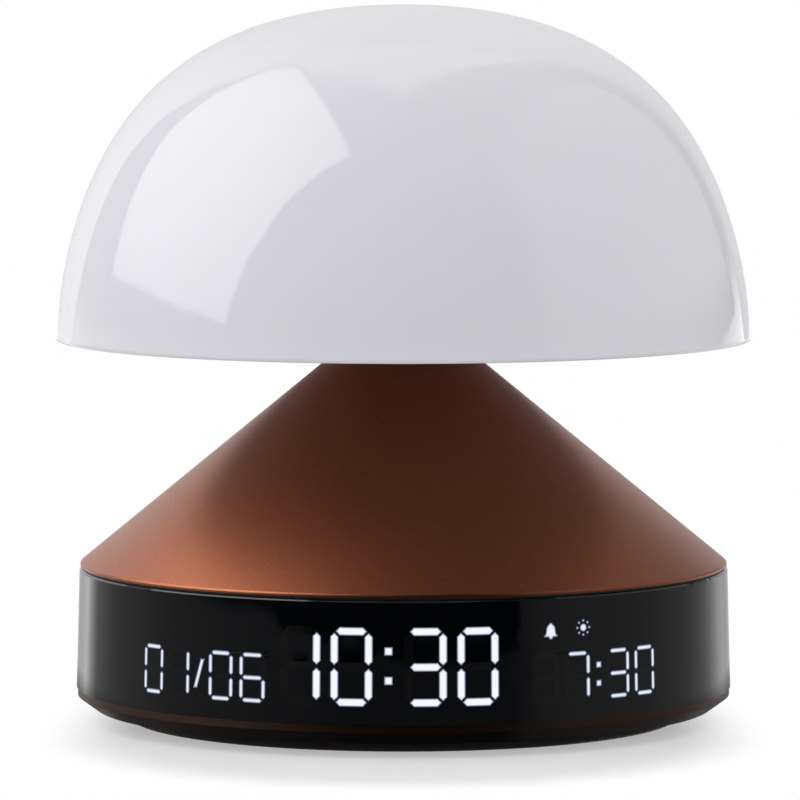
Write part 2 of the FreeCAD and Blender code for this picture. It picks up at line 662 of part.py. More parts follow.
def upright_screws(label, prefix, circle, count, head_bottom, length, spin="0", flush=False,
                   down=True):
    """Make a ring of equal screws that point down, or up when down is False."""
    body = new_body(label)
    sign = "" if down else "-"
    outline = []
    for across, up in screw_outline(prefix, length, flush):
        outline.append((f"({circle}) + ({across})", f"({head_bottom}) + {sign}({up})"))
    screw = turn(body, f"{label}_one", outline, spin=spin, axis=("upright", circle))
    around(body, f"{label}_ring", [screw], count)
    return keep(body)


def hole_ring(body, name, circle, count, radius, low, high, spin="0"):
    """Cut a ring of equal upright holes."""
    half = box_corners(circle, f"({circle}) + ({radius})", low, high)
    hole = turn(body, f"{name}_one", half, spin=spin, axis=("upright", circle), cut=True)
    return around(body, f"{name}_ring", [hole], count)


def shade_piece():
    """Make the translucent shade: a dome from one cubic curve, hollowed by a like curve."""
    body = new_body("shade")

    def solid(sketch):
        outer = draw_curve(sketch, [
            ("shade_radius", "rim_level"),
            ("shade_radius - shade_side_lean", "side_level"),
            ("shade_crown_reach", "shade_top"),
            ("0", "shade_top"),
        ])
        side = sketch.addGeometry(Part.LineSegment(Vector(0, 2, 0), Vector(0, 0, 0)), False)
        base = sketch.addGeometry(Part.LineSegment(Vector(0, 0, 0), Vector(1, 0, 0)), False)
        sketch.addConstraint(Sketcher.Constraint("Coincident", outer, 2, side, 1))
        sketch.addConstraint(Sketcher.Constraint("Coincident", side, 2, base, 1))
        sketch.addConstraint(Sketcher.Constraint("Coincident", base, 2, outer, 1))
        pin_point(sketch, side, 2, "0", "rim_level")

    def hollow(sketch):
        inner = draw_curve(sketch, [
            ("shade_bore", "rim_level"),
            ("shade_bore - shade_side_lean", "rim_level + shade_side_reach * inner_scale"),
            ("shade_crown_reach * inner_scale", "shade_ceiling"),
            ("0", "shade_ceiling"),
        ])
        side = sketch.addGeometry(Part.LineSegment(Vector(0, 2, 0), Vector(0, 0, 0)), False)
        base = sketch.addGeometry(Part.LineSegment(Vector(0, 0, 0), Vector(1, 0, 0)), False)
        sketch.addConstraint(Sketcher.Constraint("Coincident", inner, 2, side, 1))
        sketch.addConstraint(Sketcher.Constraint("Coincident", side, 2, base, 1))
        sketch.addConstraint(Sketcher.Constraint("Coincident", base, 2, inner, 1))
        pin_point(sketch, side, 2, "0", "rim_level")

    turn(body, "dome", solid)
    turn(body, "dome_hollow", hollow, cut=True)
    seat = box_corners("0", "shade_seat_radius", "rim_level", "floor_top")
    turn(body, "floor_seat", seat, cut=True)
    dress_edges(body, "rim_rounding", "Fillet", "rim_round", [(size("shade_radius"), size("rim_level"))])
    return keep(body)


def shade_floor_piece():
    """Make the floor that closes the shade, with a boss for the hub's screws."""
    body = new_body("shade_floor")
    rim = "shade_seat_radius - slip_fit"
    hole = "hub_radius + slip_fit"
    turn(body, "floor_plate", [
        (hole, "floor_bottom"),
        (rim, "floor_bottom"),
        (rim, "floor_top"),
        ("floor_boss_radius", "floor_top"),
        ("floor_boss_radius", "hub_flange_bottom"),
        (hole, "hub_flange_bottom"),
    ])
    hole_ring(body, "hub_screw_holes", "hub_bolt_radius", "hub_bolt_count", "small_screw_radius",
              "floor_bottom + floor_skin", "hub_flange_bottom")
    return keep(body)


def hub_pieces():
    """Make the sliding hub of the shade, its screws and its retaining clip."""
    body = new_body("shade_hub")
    bore = "hub_radius - hub_wall"
    end = "hub_bottom + hub_end_thickness"
    groove = "hub_radius - clip_groove"
    turn(body, "hub_tube", [
        ("0", "pin_bottom"),
        ("pin_radius", "pin_bottom"),
        ("pin_radius", "hub_bottom"),
        ("hub_radius", "hub_bottom"),
        ("hub_radius", "clip_bottom"),
        (groove, "clip_bottom"),
        (groove, "clip_top"),
        ("hub_radius", "clip_top"),
        ("hub_radius", "hub_flange_bottom"),
        ("hub_flange_radius", "hub_flange_bottom"),
        ("hub_flange_radius", "lamp_board_bottom"),
        (bore, "lamp_board_bottom"),
        (bore, end),
        ("0", end),
    ])
    slot = box_corners("-lead_slot_width / 2", "lead_slot_width / 2", end, "clip_bottom - slip_fit")
    prism(body, "lead_slot", [slot], "0", "hub_radius + overcut", "rear", cut=True)
    sink = "small_head_radius - small_screw_radius"
    countersink = turn(body, "hub_screw_hole", [
        ("hub_bolt_radius", "hub_flange_bottom"),
        ("hub_bolt_radius + small_screw_radius", "hub_flange_bottom"),
        ("hub_bolt_radius + small_screw_radius", f"lamp_board_bottom - ({sink})"),
        ("hub_bolt_radius + small_head_radius", "lamp_board_bottom"),
        ("hub_bolt_radius", "lamp_board_bottom"),
    ], axis=("upright", "hub_bolt_radius"), cut=True)
    around(body, "hub_screw_hole_ring", [countersink], "hub_bolt_count")
    hole_ring(body, "lamp_screw_holes", "hub_bolt_radius", "hub_bolt_count", "small_screw_radius",
              "hub_flange_bottom", "lamp_board_bottom", spin="60")
    keep(body)

    upright_screws("hub_screws", "small_", "hub_bolt_radius", "hub_bolt_count", "lamp_board_bottom",
                   "hub_flange_thickness + hub_screw_grip", flush=True)

    clip = new_body("hub_clip")
    turn(clip, "clip_ring", box_corners(groove, "hub_radius + clip_rim", "clip_bottom", "clip_top"))
    mouth = box_corners("-clip_mouth / 2", "clip_mouth / 2", "clip_bottom - overcut", "clip_top + overcut")
    prism(clip, "clip_mouth_cut", [mouth], "0", "hub_radius + clip_rim + overcut", "rear", cut=True)
    return keep(clip)


def lamp_pieces():
    """Make the lamp board in the shade, its ring of lamps and its screws."""
    board = new_body("lamp_board")
    bore = "hub_radius - hub_wall"
    turn(board, "lamp_board_disc", box_corners(bore, "lamp_board_radius", "lamp_board_bottom",
                                               "lamp_board_top"))
    hole_ring(board, "lamp_board_holes", "hub_bolt_radius", "hub_bolt_count",
              "small_screw_radius + slip_fit", "lamp_board_bottom", "lamp_board_top", spin="60")
    keep(board)

    lamps = new_body("lamps")
    square = box_corners("lamp_ring_radius - lamp_size / 2", "lamp_ring_radius + lamp_size / 2",
                         "-lamp_size / 2", "lamp_size / 2")
    lamp = prism(lamps, "lamp_one", [square], "lamp_board_top", "lamp_board_top + lamp_height")
    around(lamps, "lamp_ring", [lamp], "lamp_count")
    keep(lamps)

    return upright_screws("lamp_board_screws", "small_", "hub_bolt_radius", "hub_bolt_count",
                          "lamp_board_top", "lamp_board_thickness + hub_flange_thickness", spin="60")


def neck_pieces():
    """Make the bush that the hub slides in and the nut that clamps it."""
    bush = new_body("neck_bush")
    flange = "bush_radius + bush_flange_width"
    turn(bush, "bush_turned", [
        ("bush_bore", "bush_bottom"),
        ("bush_radius", "bush_bottom"),
        ("bush_radius", "collar_top"),
        (flange, "collar_top"),
        (flange, "bush_top"),
        ("bush_bore", "bush_top"),
    ])
    keep(bush)

    nut = new_body("neck_nut")
    turn(nut, "nut_ring", box_corners("bush_radius", "nut_radius", "nut_bottom", "tower_roof"))
    notch = box_corners("nut_radius - nut_wall / 2", "nut_radius + overcut", "-nut_notch / 2",
                        "nut_notch / 2")
    cut = prism(nut, "nut_notch_one", [notch], "nut_bottom", "tower_roof", cut=True)
    around(nut, "nut_notches", [cut], "nut_notch_count")
    return keep(nut)


def cone_piece():
    """Make the conical metal shell with its collar, lip and centring ring."""
    body = new_body("cone_shell")
    flank_foot = "cone_top - cone_wall_drop + cone_slope * (neck_radius - spigot_bore)"
    turn(body, "cone_turned", [
        ("collar_bore", "seat_level"),
        ("seat_radius", "seat_level"),
        ("spigot_bore", flank_foot),
        ("spigot_bore", "cone_spigot_bottom"),
        ("spigot_radius", "cone_spigot_bottom"),
        ("spigot_radius", "cone_bottom"),
        ("lip_radius", "cone_bottom"),
        ("lip_radius", "lip_top"),
        ("neck_radius", "cone_top"),
        ("neck_radius", "collar_top"),
        ("collar_bore", "collar_top"),
    ])
    dress_edges(body, "lip_rounding", "Fillet", "lip_round", [(size("lip_radius"), size("lip_top"))])
    return keep(body)


def tower_pieces():
    """Make the tower that carries the neck, and the screws through its flange."""
    body = new_body("neck_tower")
    roof_radius = "seat_radius - tower_gap"
    turn(body, "tower_turned", [
        ("collar_bore", "tower_roof"),
        ("tower_bore", "tower_roof"),
        ("tower_bore", "chassis_top"),
        ("tower_flange_radius", "chassis_top"),
        ("tower_flange_radius", "chassis_top + tower_flange_thickness"),
        ("tower_radius", "chassis_top + tower_flange_thickness"),
        ("tower_radius", f"seat_level - cone_slope * (tower_radius - ({roof_radius}))"),
        (roof_radius, "seat_level"),
        ("collar_bore", "seat_level"),
    ])
    sill = "chassis_top + tower_flange_thickness + lead_window_lift"
    window = box_corners("-lead_slot_width", "lead_slot_width", sill, f"{sill} + lead_window_height")
    prism(body, "tower_lead_window", [window], "0", "tower_radius + overcut", "rear", cut=True)
    hole_ring(body, "tower_holes", "tower_bolt_radius", "tower_bolt_count", "screw_radius + slip_fit",
              "chassis_top", "chassis_top + tower_flange_thickness", spin="-30")
    keep(body)
    return upright_screws("tower_screws", "", "tower_bolt_radius", "tower_bolt_count",
                          "chassis_top + tower_flange_thickness",
                          "tower_flange_thickness + chassis_plate", spin="-30")


def spring_piece():
    """Wind the spring that lifts the shade: one wire along a helix of quarter-turn biarcs."""
    wire = size("spring_wire_radius")
    radius = size("spring_radius")
    low = size("spring_seat") + wire + size("slip_fit")
    high = size("hub_bottom") - wire - size("slip_fit")
    turns = int(size("spring_turns"))
    climb = (high - low) / (2 * math.pi * turns)
    steps = 4 * turns

    def point(angle):
        return Vector(radius * math.cos(angle), radius * math.sin(angle), low + climb * angle)

    def heading(angle):
        return Vector(-radius * math.sin(angle), radius * math.cos(angle), climb).normalize()

    def arc(start, way, end):
        chord = end - start
        along = Vector(chord).normalize()
        side = (way - along * way.dot(along)).normalize()
        bulge = chord.Length / 2 * math.tan(way.getAngle(chord) / 2)
        return Part.Arc(start, start + chord * 0.5 + side * bulge, end).toShape()

    edges = []
    for step in range(steps):
        here, there = 2 * math.pi * turns * step / steps, 2 * math.pi * turns * (step + 1) / steps
        start, end = point(here), point(there)
        way_in, way_out = heading(here), heading(there)
        span = end - start
        both = way_in + way_out
        a = 2 * (way_in.dot(way_out) - 1)
        b = -2 * span.dot(both)
        c = span.dot(span)
        reach = (-b - math.sqrt(b * b - 4 * a * c)) / (2 * a)
        middle = ((start + way_in * reach) + (end - way_out * reach)) * 0.5
        first = arc(start, way_in, middle)
        edges.append(first)
        way_middle = first.tangentAt(first.LastParameter)
        edges.append(arc(middle, way_middle, end))
    path = Part.Wire(edges)
    section = Part.Wire(Part.Circle(point(0), heading(0), wire).toShape())
    spring = doc.addObject("Part::Feature", "shade_spring")
    spring.Label = "shade_spring"
    spring.Shape = path.makePipeShell([section], True, False)
    spring.Placement = FreeCAD.Placement()
    print("spring's least gap between turns, mm:", round(climb * 2 * math.pi - 2 * wire, 3))
    return keep(spring)


def snooze_pieces():
    """Make the board and switch that the pressed hub works."""
    board = new_body("snooze_board")
    turn(board, "snooze_board_disc", box_corners("0", "snooze_board_radius", "snooze_board_bottom",
                                                 "snooze_board_top"))
    keep(board)
    switch = new_body("snooze_switch")
    half = "snooze_switch_size / 2"
    body_top = "snooze_board_top + switch_body_height"
    prism(switch, "snooze_switch_case", [box_corners(f"-{half}", half, f"-{half}", half)],
          "snooze_board_top", body_top)
    prism(switch, "snooze_switch_plunger", [("circle", "0", "0", "switch_plunger_radius")],
          body_top, "snooze_switch_top")
    return keep(switch)


def chassis_piece():
    """Make the chassis: a plate on four posts, with the spring's post and the standoffs."""
    body = new_body("chassis")
    turn(body, "chassis_plate_disc", box_corners("0", "chassis_radius", "chassis_bottom",
                                                 "chassis_top"))
    turn(body, "spring_post", [
        ("0", "chassis_top"),
        ("spring_post_radius", "chassis_top"),
        ("spring_post_radius", "spring_seat"),
        ("snooze_board_radius + slip_fit", "spring_seat"),
        ("snooze_board_radius + slip_fit", "snooze_board_bottom"),
        ("0", "snooze_board_bottom"),
    ])
    post = turn(body, "chassis_post", box_corners("post_circle + screw_radius", "post_circle + post_radius",
                                                  "tray_floor_top + tray_boss_height", "chassis_bottom"),
                spin="45", axis=("upright", "post_circle"))
    around(body, "chassis_posts", [post], "post_count")
    standoff = turn(body, "standoff", box_corners("standoff_circle", "standoff_circle + standoff_radius",
                                                  "chassis_top", "main_board_bottom"),
                    axis=("upright", "standoff_circle"), spin="45")
    around(body, "standoffs", [standoff], "post_count")
    hole_ring(body, "standoff_holes", "standoff_circle", "post_count", "small_screw_radius",
              "main_board_bottom - standoff_hole", "main_board_bottom", spin="45")
    hole_ring(body, "tower_screw_holes", "tower_bolt_radius", "tower_bolt_count", "screw_radius",
              "chassis_bottom", "chassis_top", spin="-30")
    flat = box_corners("-chassis_radius", "chassis_radius",
                       "rear_head_face - small_head_height - rear_flat_gap",
                       "chassis_radius + overcut")
    prism(body, "rear_flat", [flat], "chassis_bottom", "chassis_top", cut=True)
    return keep(body)


def digit_outlines(group, letters):
    """Give the pointed six-sided outlines of the named segments of one digit."""
    half_wide = f"(({group}_width - {group}_stroke) / 2)"
    half_tall = f"(({group}_height - {group}_stroke) / 2)"
    middle = f"digit_level + {group}_height / 2"
    half = f"{group}_stroke / 2"
    outlines = []
    for letter in letters:
        (x_start, z_start), (x_end, z_end) = SEGMENT_ENDS[letter]
        if z_start == z_end:
            low = f"{x_start} * {half_wide} + segment_gap"
            high = f"{x_end} * {half_wide} - segment_gap"
            level = f"{middle} + {z_start} * {half_tall}"
            outlines.append([
                (low, level), (f"{low} + {half}", f"{level} - {half}"),
                (f"{high} - {half}", f"{level} - {half}"), (high, level),
                (f"{high} - {half}", f"{level} + {half}"), (f"{low} + {half}", f"{level} + {half}"),
            ])
        else:
            low = f"{middle} + {z_start} * {half_tall} + segment_gap"
            high = f"{middle} + {z_end} * {half_tall} - segment_gap"
            side = f"{x_start} * {half_wide}"
            outlines.append([
                (side, low), (f"{side} + {half}", f"{low} + {half}"),
                (f"{side} + {half}", f"{high} - {half}"), (side, high),
                (f"{side} - {half}", f"{high} - {half}"), (f"{side} - {half}", f"{low} + {half}"),
            ])
    return outlines


def divider_outlines(group, kind):
    """Give the outlines of a colon's two dots or of a slash."""
    half = f"{group}_stroke / 2"
    if kind == "slash":
        low = f"digit_level + {group}_height * slash_foot"
        high = f"digit_level + {group}_height * slash_head"
        lean = f"{group}_width * slash_lean"
        return [[(f"-{lean} - {half}", low), (f"-{lean} + {half}", low),
                 (f"{lean} + {half}", high), (f"{lean} - {half}", high)]]
    dots = []
    for share in ("colon_low", "colon_high"):
        level = f"digit_level + {group}_height * {share}"
        dots.append(box_corners(f"-{half}", half, f"{level} - {half}", f"{level} + {half}"))
    return dots


def lamp_outlines(outlines):
    """Give the outline of the lamp in the middle of each segment."""
    half = "segment_lamp_size / 2"
    result = []
    for outline in outlines:
        count = len(outline)
        across = " + ".join(f"({corner[0]})" for corner in outline)
        up = " + ".join(f"({corner[1]})" for corner in outline)
        x, z = f"({across}) / {count}", f"({up}) / {count}"
        result.append(box_corners(f"{x} - {half}", f"{x} + {half}", f"{z} - {half}", f"{z} + {half}"))
    return result


def display_signs():
    """List every lit and unlit place of the display as (group, name, angle, lit, unlit)."""
    signs = []
    for group, (left, divider, right) in DISPLAY_TEXT.items():
        inner, outer = f"{group}_split / 2", f"{group}_split / 2 + {group}_pitch"
        angles = (f"{group}_centre - ({outer})", f"{group}_centre - ({inner})",
                  f"{group}_centre + {inner}", f"{group}_centre + {outer}")
        for index, (sign, angle) in enumerate(zip(left + right, angles), start=1):
            lit = LIT_SEGMENTS[sign]
            unlit = "".join(letter for letter in "abcdefg" if letter not in lit)
            signs.append((group, f"{group}_digit_{index}", angle, digit_outlines(group, lit),
                          digit_outlines(group, unlit)))
        signs.append((group, f"{group}_{divider}", f"{group}_centre",
                      divider_outlines(group, divider), []))
    return signs


def band_outline(inner):
    """Give the section of the display band outside a radius."""
    return [(inner, "band_bottom"), ("band_bottom_radius", "band_bottom"),
            ("band_top_radius", "band_top"), (inner, "band_top")]


def display_pieces():
    """Make the display band with a window for every segment, and what lies behind it."""
    prisms = {"time": new_body("time_prisms"), "date": new_body("date_prisms"),
              "alarm": new_body("alarm_prisms"), "unlit": new_body("unlit_prisms")}
    lamp_prisms = new_body("segment_lamp_prisms")
    back, front = "mask_bore - overcut", "band_bottom_radius + overcut"
    for group, name, angle, lit, unlit in display_signs():
        if lit:
            prism(prisms[group], f"{name}_lit", lit, back, front, "out", spin=angle)
        if unlit:
            prism(prisms["unlit"], f"{name}_unlit", unlit, back, front, "out", spin=angle)
        prism(lamp_prisms, f"{name}_lamps", lamp_outlines(lit + unlit), back, front, "out", spin=angle)
    windows = doc.addObject("Part::Compound", "windows")
    windows.Links = list(prisms.values())

    blank = new_body("band_blank")
    turn(blank, "band_turned", band_outline("band_bore"))
    top = (size("band_top_radius"), size("band_top"))
    dress_edges(blank, "band_top_bevel", "Chamfer", "band_bevel", [top])
    face = box_corners("-panel_half_width", "panel_half_width", "panel_bottom", "panel_top")
    opening = new_body("panel_opening")
    prism(opening, "panel_opening_prism", [face], "rear_cut_start", "rear_cut_end", "rear")
    dress_upright(opening, "panel_opening_corners", "panel_round")
    open_band = combine("Cut", "band_with_opening", blank, opening)
    keep(combine("Cut", "display_band", open_band, windows))

    guide_ring = new_body("guide_ring")
    turn(guide_ring, "guide_ring_turned", band_outline("guide_back"))
    for group in ("time", "date", "alarm", "unlit"):
        keep(combine("Common", f"{group}_light_guides", prisms[group], guide_ring))

    mask_blank = new_body("mask_blank")
    sector(mask_blank, "mask_turned", box_corners("mask_bore", "mask_radius", "tray_spigot_top",
                                                  "mask_top"))
    keep(combine("Cut", "segment_mask", mask_blank, windows))

    board = new_body("display_board")
    sector(board, "display_board_turned",
           box_corners("mask_bore - display_board_thickness", "mask_bore", "tray_spigot_top",
                       "mask_top"))
    keep(board)

    lamp_ring = new_body("segment_lamp_ring")
    turn(lamp_ring, "segment_lamp_ring_turned", box_corners("mask_bore", "segment_lamp_top",
                                                            "band_bottom", "band_top"))
    keep(combine("Common", "segment_lamps", lamp_prisms, lamp_ring))

    gasket = new_body("band_gasket")
    turn(gasket, "gasket_ring", box_corners("spigot_radius", "band_top_radius - gasket_inset",
                                            "band_top", "cone_bottom"))
    return keep(gasket)


def sector(body, name, outline):
    """Turn an outline through the display's span, evenly about the front."""
    sketch = new_sketch(body, f"{name}_outline", "XZ_Plane", spin="-90")
    draw_polygon(sketch, outline)
    feature = body.newObject("PartDesign::Revolution", name)
    feature.Profile = sketch
    feature.ReferenceAxis = (sketch, ["V_Axis"])
    feature.setExpression("Angle", link("mask_span"))
    feature.Midplane = True
    return feature


def rear_pieces():
    """Make the rear panel with its buttons, board, switches, screws and power socket."""
    outer = new_body("panel_outer_ring")
    turn(outer, "panel_outer_ring_turned", band_outline("panel_bore"))
    inner = new_body("panel_inner_ring")
    turn(inner, "panel_inner_ring_turned", box_corners("panel_bore", "mask_radius", "band_bottom",
                                                       "band_top"))
    face_prism = new_body("panel_face_prism")
    fit = "slip_fit"
    face = box_corners(f"{fit} - panel_half_width", f"panel_half_width - {fit}",
                       f"panel_bottom + {fit}", f"panel_top - {fit}")
    prism(face_prism, "panel_face", [face], "rear_cut_start", "rear_cut_end", "rear")
    dress_upright(face_prism, "panel_face_corners", f"panel_round - {fit}")
    flange_prism = new_body("panel_flange_prism")
    reach = "panel_half_width + panel_flange"
    flange = box_corners(f"-({reach})", reach, "panel_bottom - panel_flange", "panel_top + panel_flange")
    prism(flange_prism, "panel_flange_pad", [flange], "rear_cut_start", "rear_cut_end", "rear")
    shell = combine("Fuse", "panel_shell", combine("Common", "panel_front", face_prism, outer),
                    combine("Common", "panel_back", flange_prism, inner))

    posts = new_body("panel_posts")
    prism(posts, "panel_post_pads", rear_post_circles("rear_post_radius"), "rear_board_depth",
          "rear_cut_end", "rear")
    limit = doc.addObject("Part::Cylinder", "panel_post_limit")
    limit.setExpression("Radius", link("panel_bore + rear_post_sink"))
    limit.setExpression("Height", link("band_top"))
    posts = combine("Common", "panel_posts_cut", posts, limit)
    with_posts = combine("Fuse", "panel_with_posts", shell, posts)

    holes = new_body("panel_holes")
    circles = []
    for place in range(len(BUTTON_NAMES)):
        circles.append(("circle", button_middle(place), "button_level", "button_radius + button_gap"))
    prism(holes, "button_holes", circles, "rear_cut_start", "rear_cut_end", "rear")
    slot = "socket_width / 2 + slip_fit"
    stadium(holes, "socket_slot", slot, "socket_height / 2 + slip_fit", "socket_level",
            "panel_bore - panel_wall", "rear_cut_end")
    prism(holes, "panel_screw_holes", rear_post_circles("small_screw_radius"), "rear_board_depth",
          "rear_board_depth + rear_screw_hole", "rear")
    keep(combine("Cut", "rear_panel", with_posts, holes))

    face_cylinder = doc.addObject("Part::Cylinder", "button_face_limit")
    face_cylinder.setExpression("Radius", link("band_top_radius + button_proud"))
    face_cylinder.setExpression("Height", link("shade_top"))
    for place, name in enumerate(BUTTON_NAMES):
        button_piece(name, place, face_cylinder)

    board = new_body("rear_board")
    half = "rear_board_half_width"
    prism(board, "rear_board_plate", [box_corners(f"-{half}", half, "rear_board_bottom",
                                                  "rear_board_top")],
          "rear_head_face", "rear_board_depth", "rear")
    prism(board, "rear_board_holes", rear_post_circles("small_screw_radius + slip_fit"),
          "rear_head_face", "rear_board_depth", "rear", cut=True)
    keep(board)

    screws = new_body("rear_board_screws")
    prism(screws, "rear_screw_heads", rear_post_circles("small_head_radius"),
          "rear_head_face - small_head_height", "rear_head_face", "rear")
    prism(screws, "rear_screw_shanks", rear_post_circles("small_screw_radius"), "rear_head_face",
          "rear_board_depth + rear_screw_grip", "rear")
    keep(screws)

    switches = new_body("button_switches")
    cases, plungers = [], []
    half = "button_switch_size / 2"
    for place in range(len(BUTTON_NAMES)):
        x = button_middle(place)
        cases.append(box_corners(f"{x} - {half}", f"{x} + {half}", f"button_level - {half}",
                                 f"button_level + {half}"))
        plungers.append(("circle", x, "button_level", "switch_plunger_radius"))
    case_face = "rear_board_depth + switch_body_height"
    prism(switches, "switch_cases", cases, "rear_board_depth", case_face, "rear")
    prism(switches, "switch_plungers", plungers, case_face, "button_switch_top", "rear")
    keep(switches)

    socket = new_body("usb_socket")
    stadium(socket, "socket_shell", "socket_width / 2", "socket_height / 2", "socket_level",
            "rear_board_depth", "socket_mouth")
    stadium(socket, "socket_cavity", "socket_width / 2 - socket_wall", "socket_height / 2 - socket_wall",
            "socket_level", "socket_mouth - socket_depth", "socket_mouth", cut=True)
    tongue = box_corners("-tongue_width / 2", "tongue_width / 2",
                         "socket_level - tongue_thickness / 2", "socket_level + tongue_thickness / 2")
    prism(socket, "socket_tongue", [tongue], "socket_mouth - socket_depth",
          "socket_mouth - tongue_sink", "rear")
    return keep(socket)


def rear_post_circles(radius):
    """Give a circle of one radius round each post of the rear panel."""
    return [("circle", "-rear_post_pitch", "socket_level", radius),
            ("circle", "rear_post_pitch", "socket_level", radius)]


def button_middle(place):
    """Give the formula of a button's place along X, counted from -X."""
    return f"{place - len(BUTTON_NAMES) // 2} * button_pitch"


def button_piece(name, place, face_cylinder):
    """Make one rear button: a cap that follows the band, a flange and a stem."""
    steps = abs(place - len(BUTTON_NAMES) // 2)
    middle = button_middle(place)
    wide = f"({steps} * button_pitch + button_radius + button_flange_width)"
    flange_face = f"sqrt(panel_bore * panel_bore - {wide} * {wide}) - slip_fit"
    flange_back = f"{flange_face} - button_flange_thickness"
    body = new_body(f"{name}_solid")
    prism(body, f"{name}_cap", [("circle", middle, "button_level", "button_radius")],
          flange_back, "rear_cut_end", "rear")
    prism(body, f"{name}_flange", [("circle", middle, "button_level",
                                    "button_radius + button_flange_width")],
          flange_back, flange_face, "rear")
    prism(body, f"{name}_stem", [("circle", middle, "button_level", "button_stem_radius")],
          "button_stem_end", flange_back, "rear")
    keep(combine("Common", name, body, face_cylinder))


def board_pieces():
    """Make the main board, its screws, its components and the backup cell."""
    board = new_body("main_board")
    turn(board, "main_board_disc", box_corners("main_board_bore", "main_board_radius",
                                               "main_board_bottom", "main_board_top"))
    hole_ring(board, "main_board_holes", "standoff_circle", "post_count",
              "small_screw_radius + slip_fit", "main_board_bottom", "main_board_top", spin="45")
    keep(board)
    upright_screws("main_board_screws", "small_", "standoff_circle", "post_count", "main_board_top",
                   "board_thickness + standoff_grip", spin="45")

    parts = new_body("board_components")
    for name, x, y, wide, deep, tall in COMPONENTS:
        corners = box_corners(x - wide / 2, x + wide / 2, y - deep / 2, y + deep / 2)
        prism(parts, name, [corners], "main_board_top", f"main_board_top + {tall}")
    for index, (x, y) in enumerate(CAPACITORS, start=1):
        prism(parts, f"capacitor_{index}", [("circle", x, y, "capacitor_radius")], "main_board_top",
              "main_board_top + capacitor_height")
    keep(parts)

    holder = new_body("cell_holder")
    prism(holder, "holder_base", [("circle", "cell_x", "cell_y", "cell_radius + holder_wall")],
          "main_board_top", "main_board_top + holder_wall + holder_reach")
    prism(holder, "holder_pocket", [("circle", "cell_x", "cell_y", "cell_radius + slip_fit")],
          "main_board_top + holder_wall", "main_board_top + holder_wall + cell_thickness", cut=True)
    keep(holder)
    cell = new_body("backup_cell")
    prism(cell, "cell_disc", [("circle", "cell_x", "cell_y", "cell_radius")],
          "main_board_top + holder_wall", "main_board_top + holder_wall + cell_thickness")
    return keep(cell)


def speaker_pieces():
    """Make the speaker: gasket, basket, magnet and paper cone."""
    gasket = new_body("speaker_gasket")
    turn(gasket, "speaker_gasket_ring", box_corners("speaker_radius - speaker_gasket_width",
                                                    "speaker_radius", "tray_floor_top",
                                                    "speaker_flange_bottom"))
    keep(gasket)

    basket = new_body("speaker_basket")
    seat = "speaker_radius - speaker_seat"
    turn(basket, "basket_turned", [
        (seat, "speaker_flange_bottom"),
        ("speaker_radius", "speaker_flange_bottom"),
        ("speaker_radius", "speaker_flange_top"),
        ("speaker_radius - speaker_shoulder", "speaker_flange_top"),
        ("magnet_radius + speaker_wall", "magnet_bottom"),
        ("coil_radius", "magnet_bottom"),
        ("coil_radius", "magnet_bottom - speaker_wall"),
        ("magnet_radius", "magnet_bottom - speaker_wall"),
        (seat, "speaker_flange_top - speaker_wall / 4"),
    ])
    keep(basket)

    magnet = new_body("speaker_magnet")
    turn(magnet, "magnet_turned", box_corners("0", "magnet_radius", "magnet_bottom", "magnet_top"))
    keep(magnet)

    cone = new_body("speaker_cone")
    rim_low, rim_high = "speaker_flange_bottom + paper / 2", "speaker_flange_bottom + paper * 1.5"
    turn(cone, "paper_cone", [
        ("0", "speaker_flange_bottom + cap_lift"),
        ("coil_radius - paper", "speaker_flange_bottom + cone_lift"),
        (f"{seat} - paper_land", rim_low),
        (seat, rim_low),
        (seat, rim_high),
        (f"{seat} - paper_land", rim_high),
        ("coil_radius", "speaker_flange_bottom + cone_lift + paper"),
        ("coil_radius", "magnet_bottom - speaker_wall"),
        ("coil_radius - paper", "magnet_bottom - speaker_wall"),
        ("coil_radius - paper", "speaker_flange_bottom + cone_lift + paper"),
        ("0", "speaker_flange_bottom + cap_lift + paper"),
    ])
    return keep(cone)


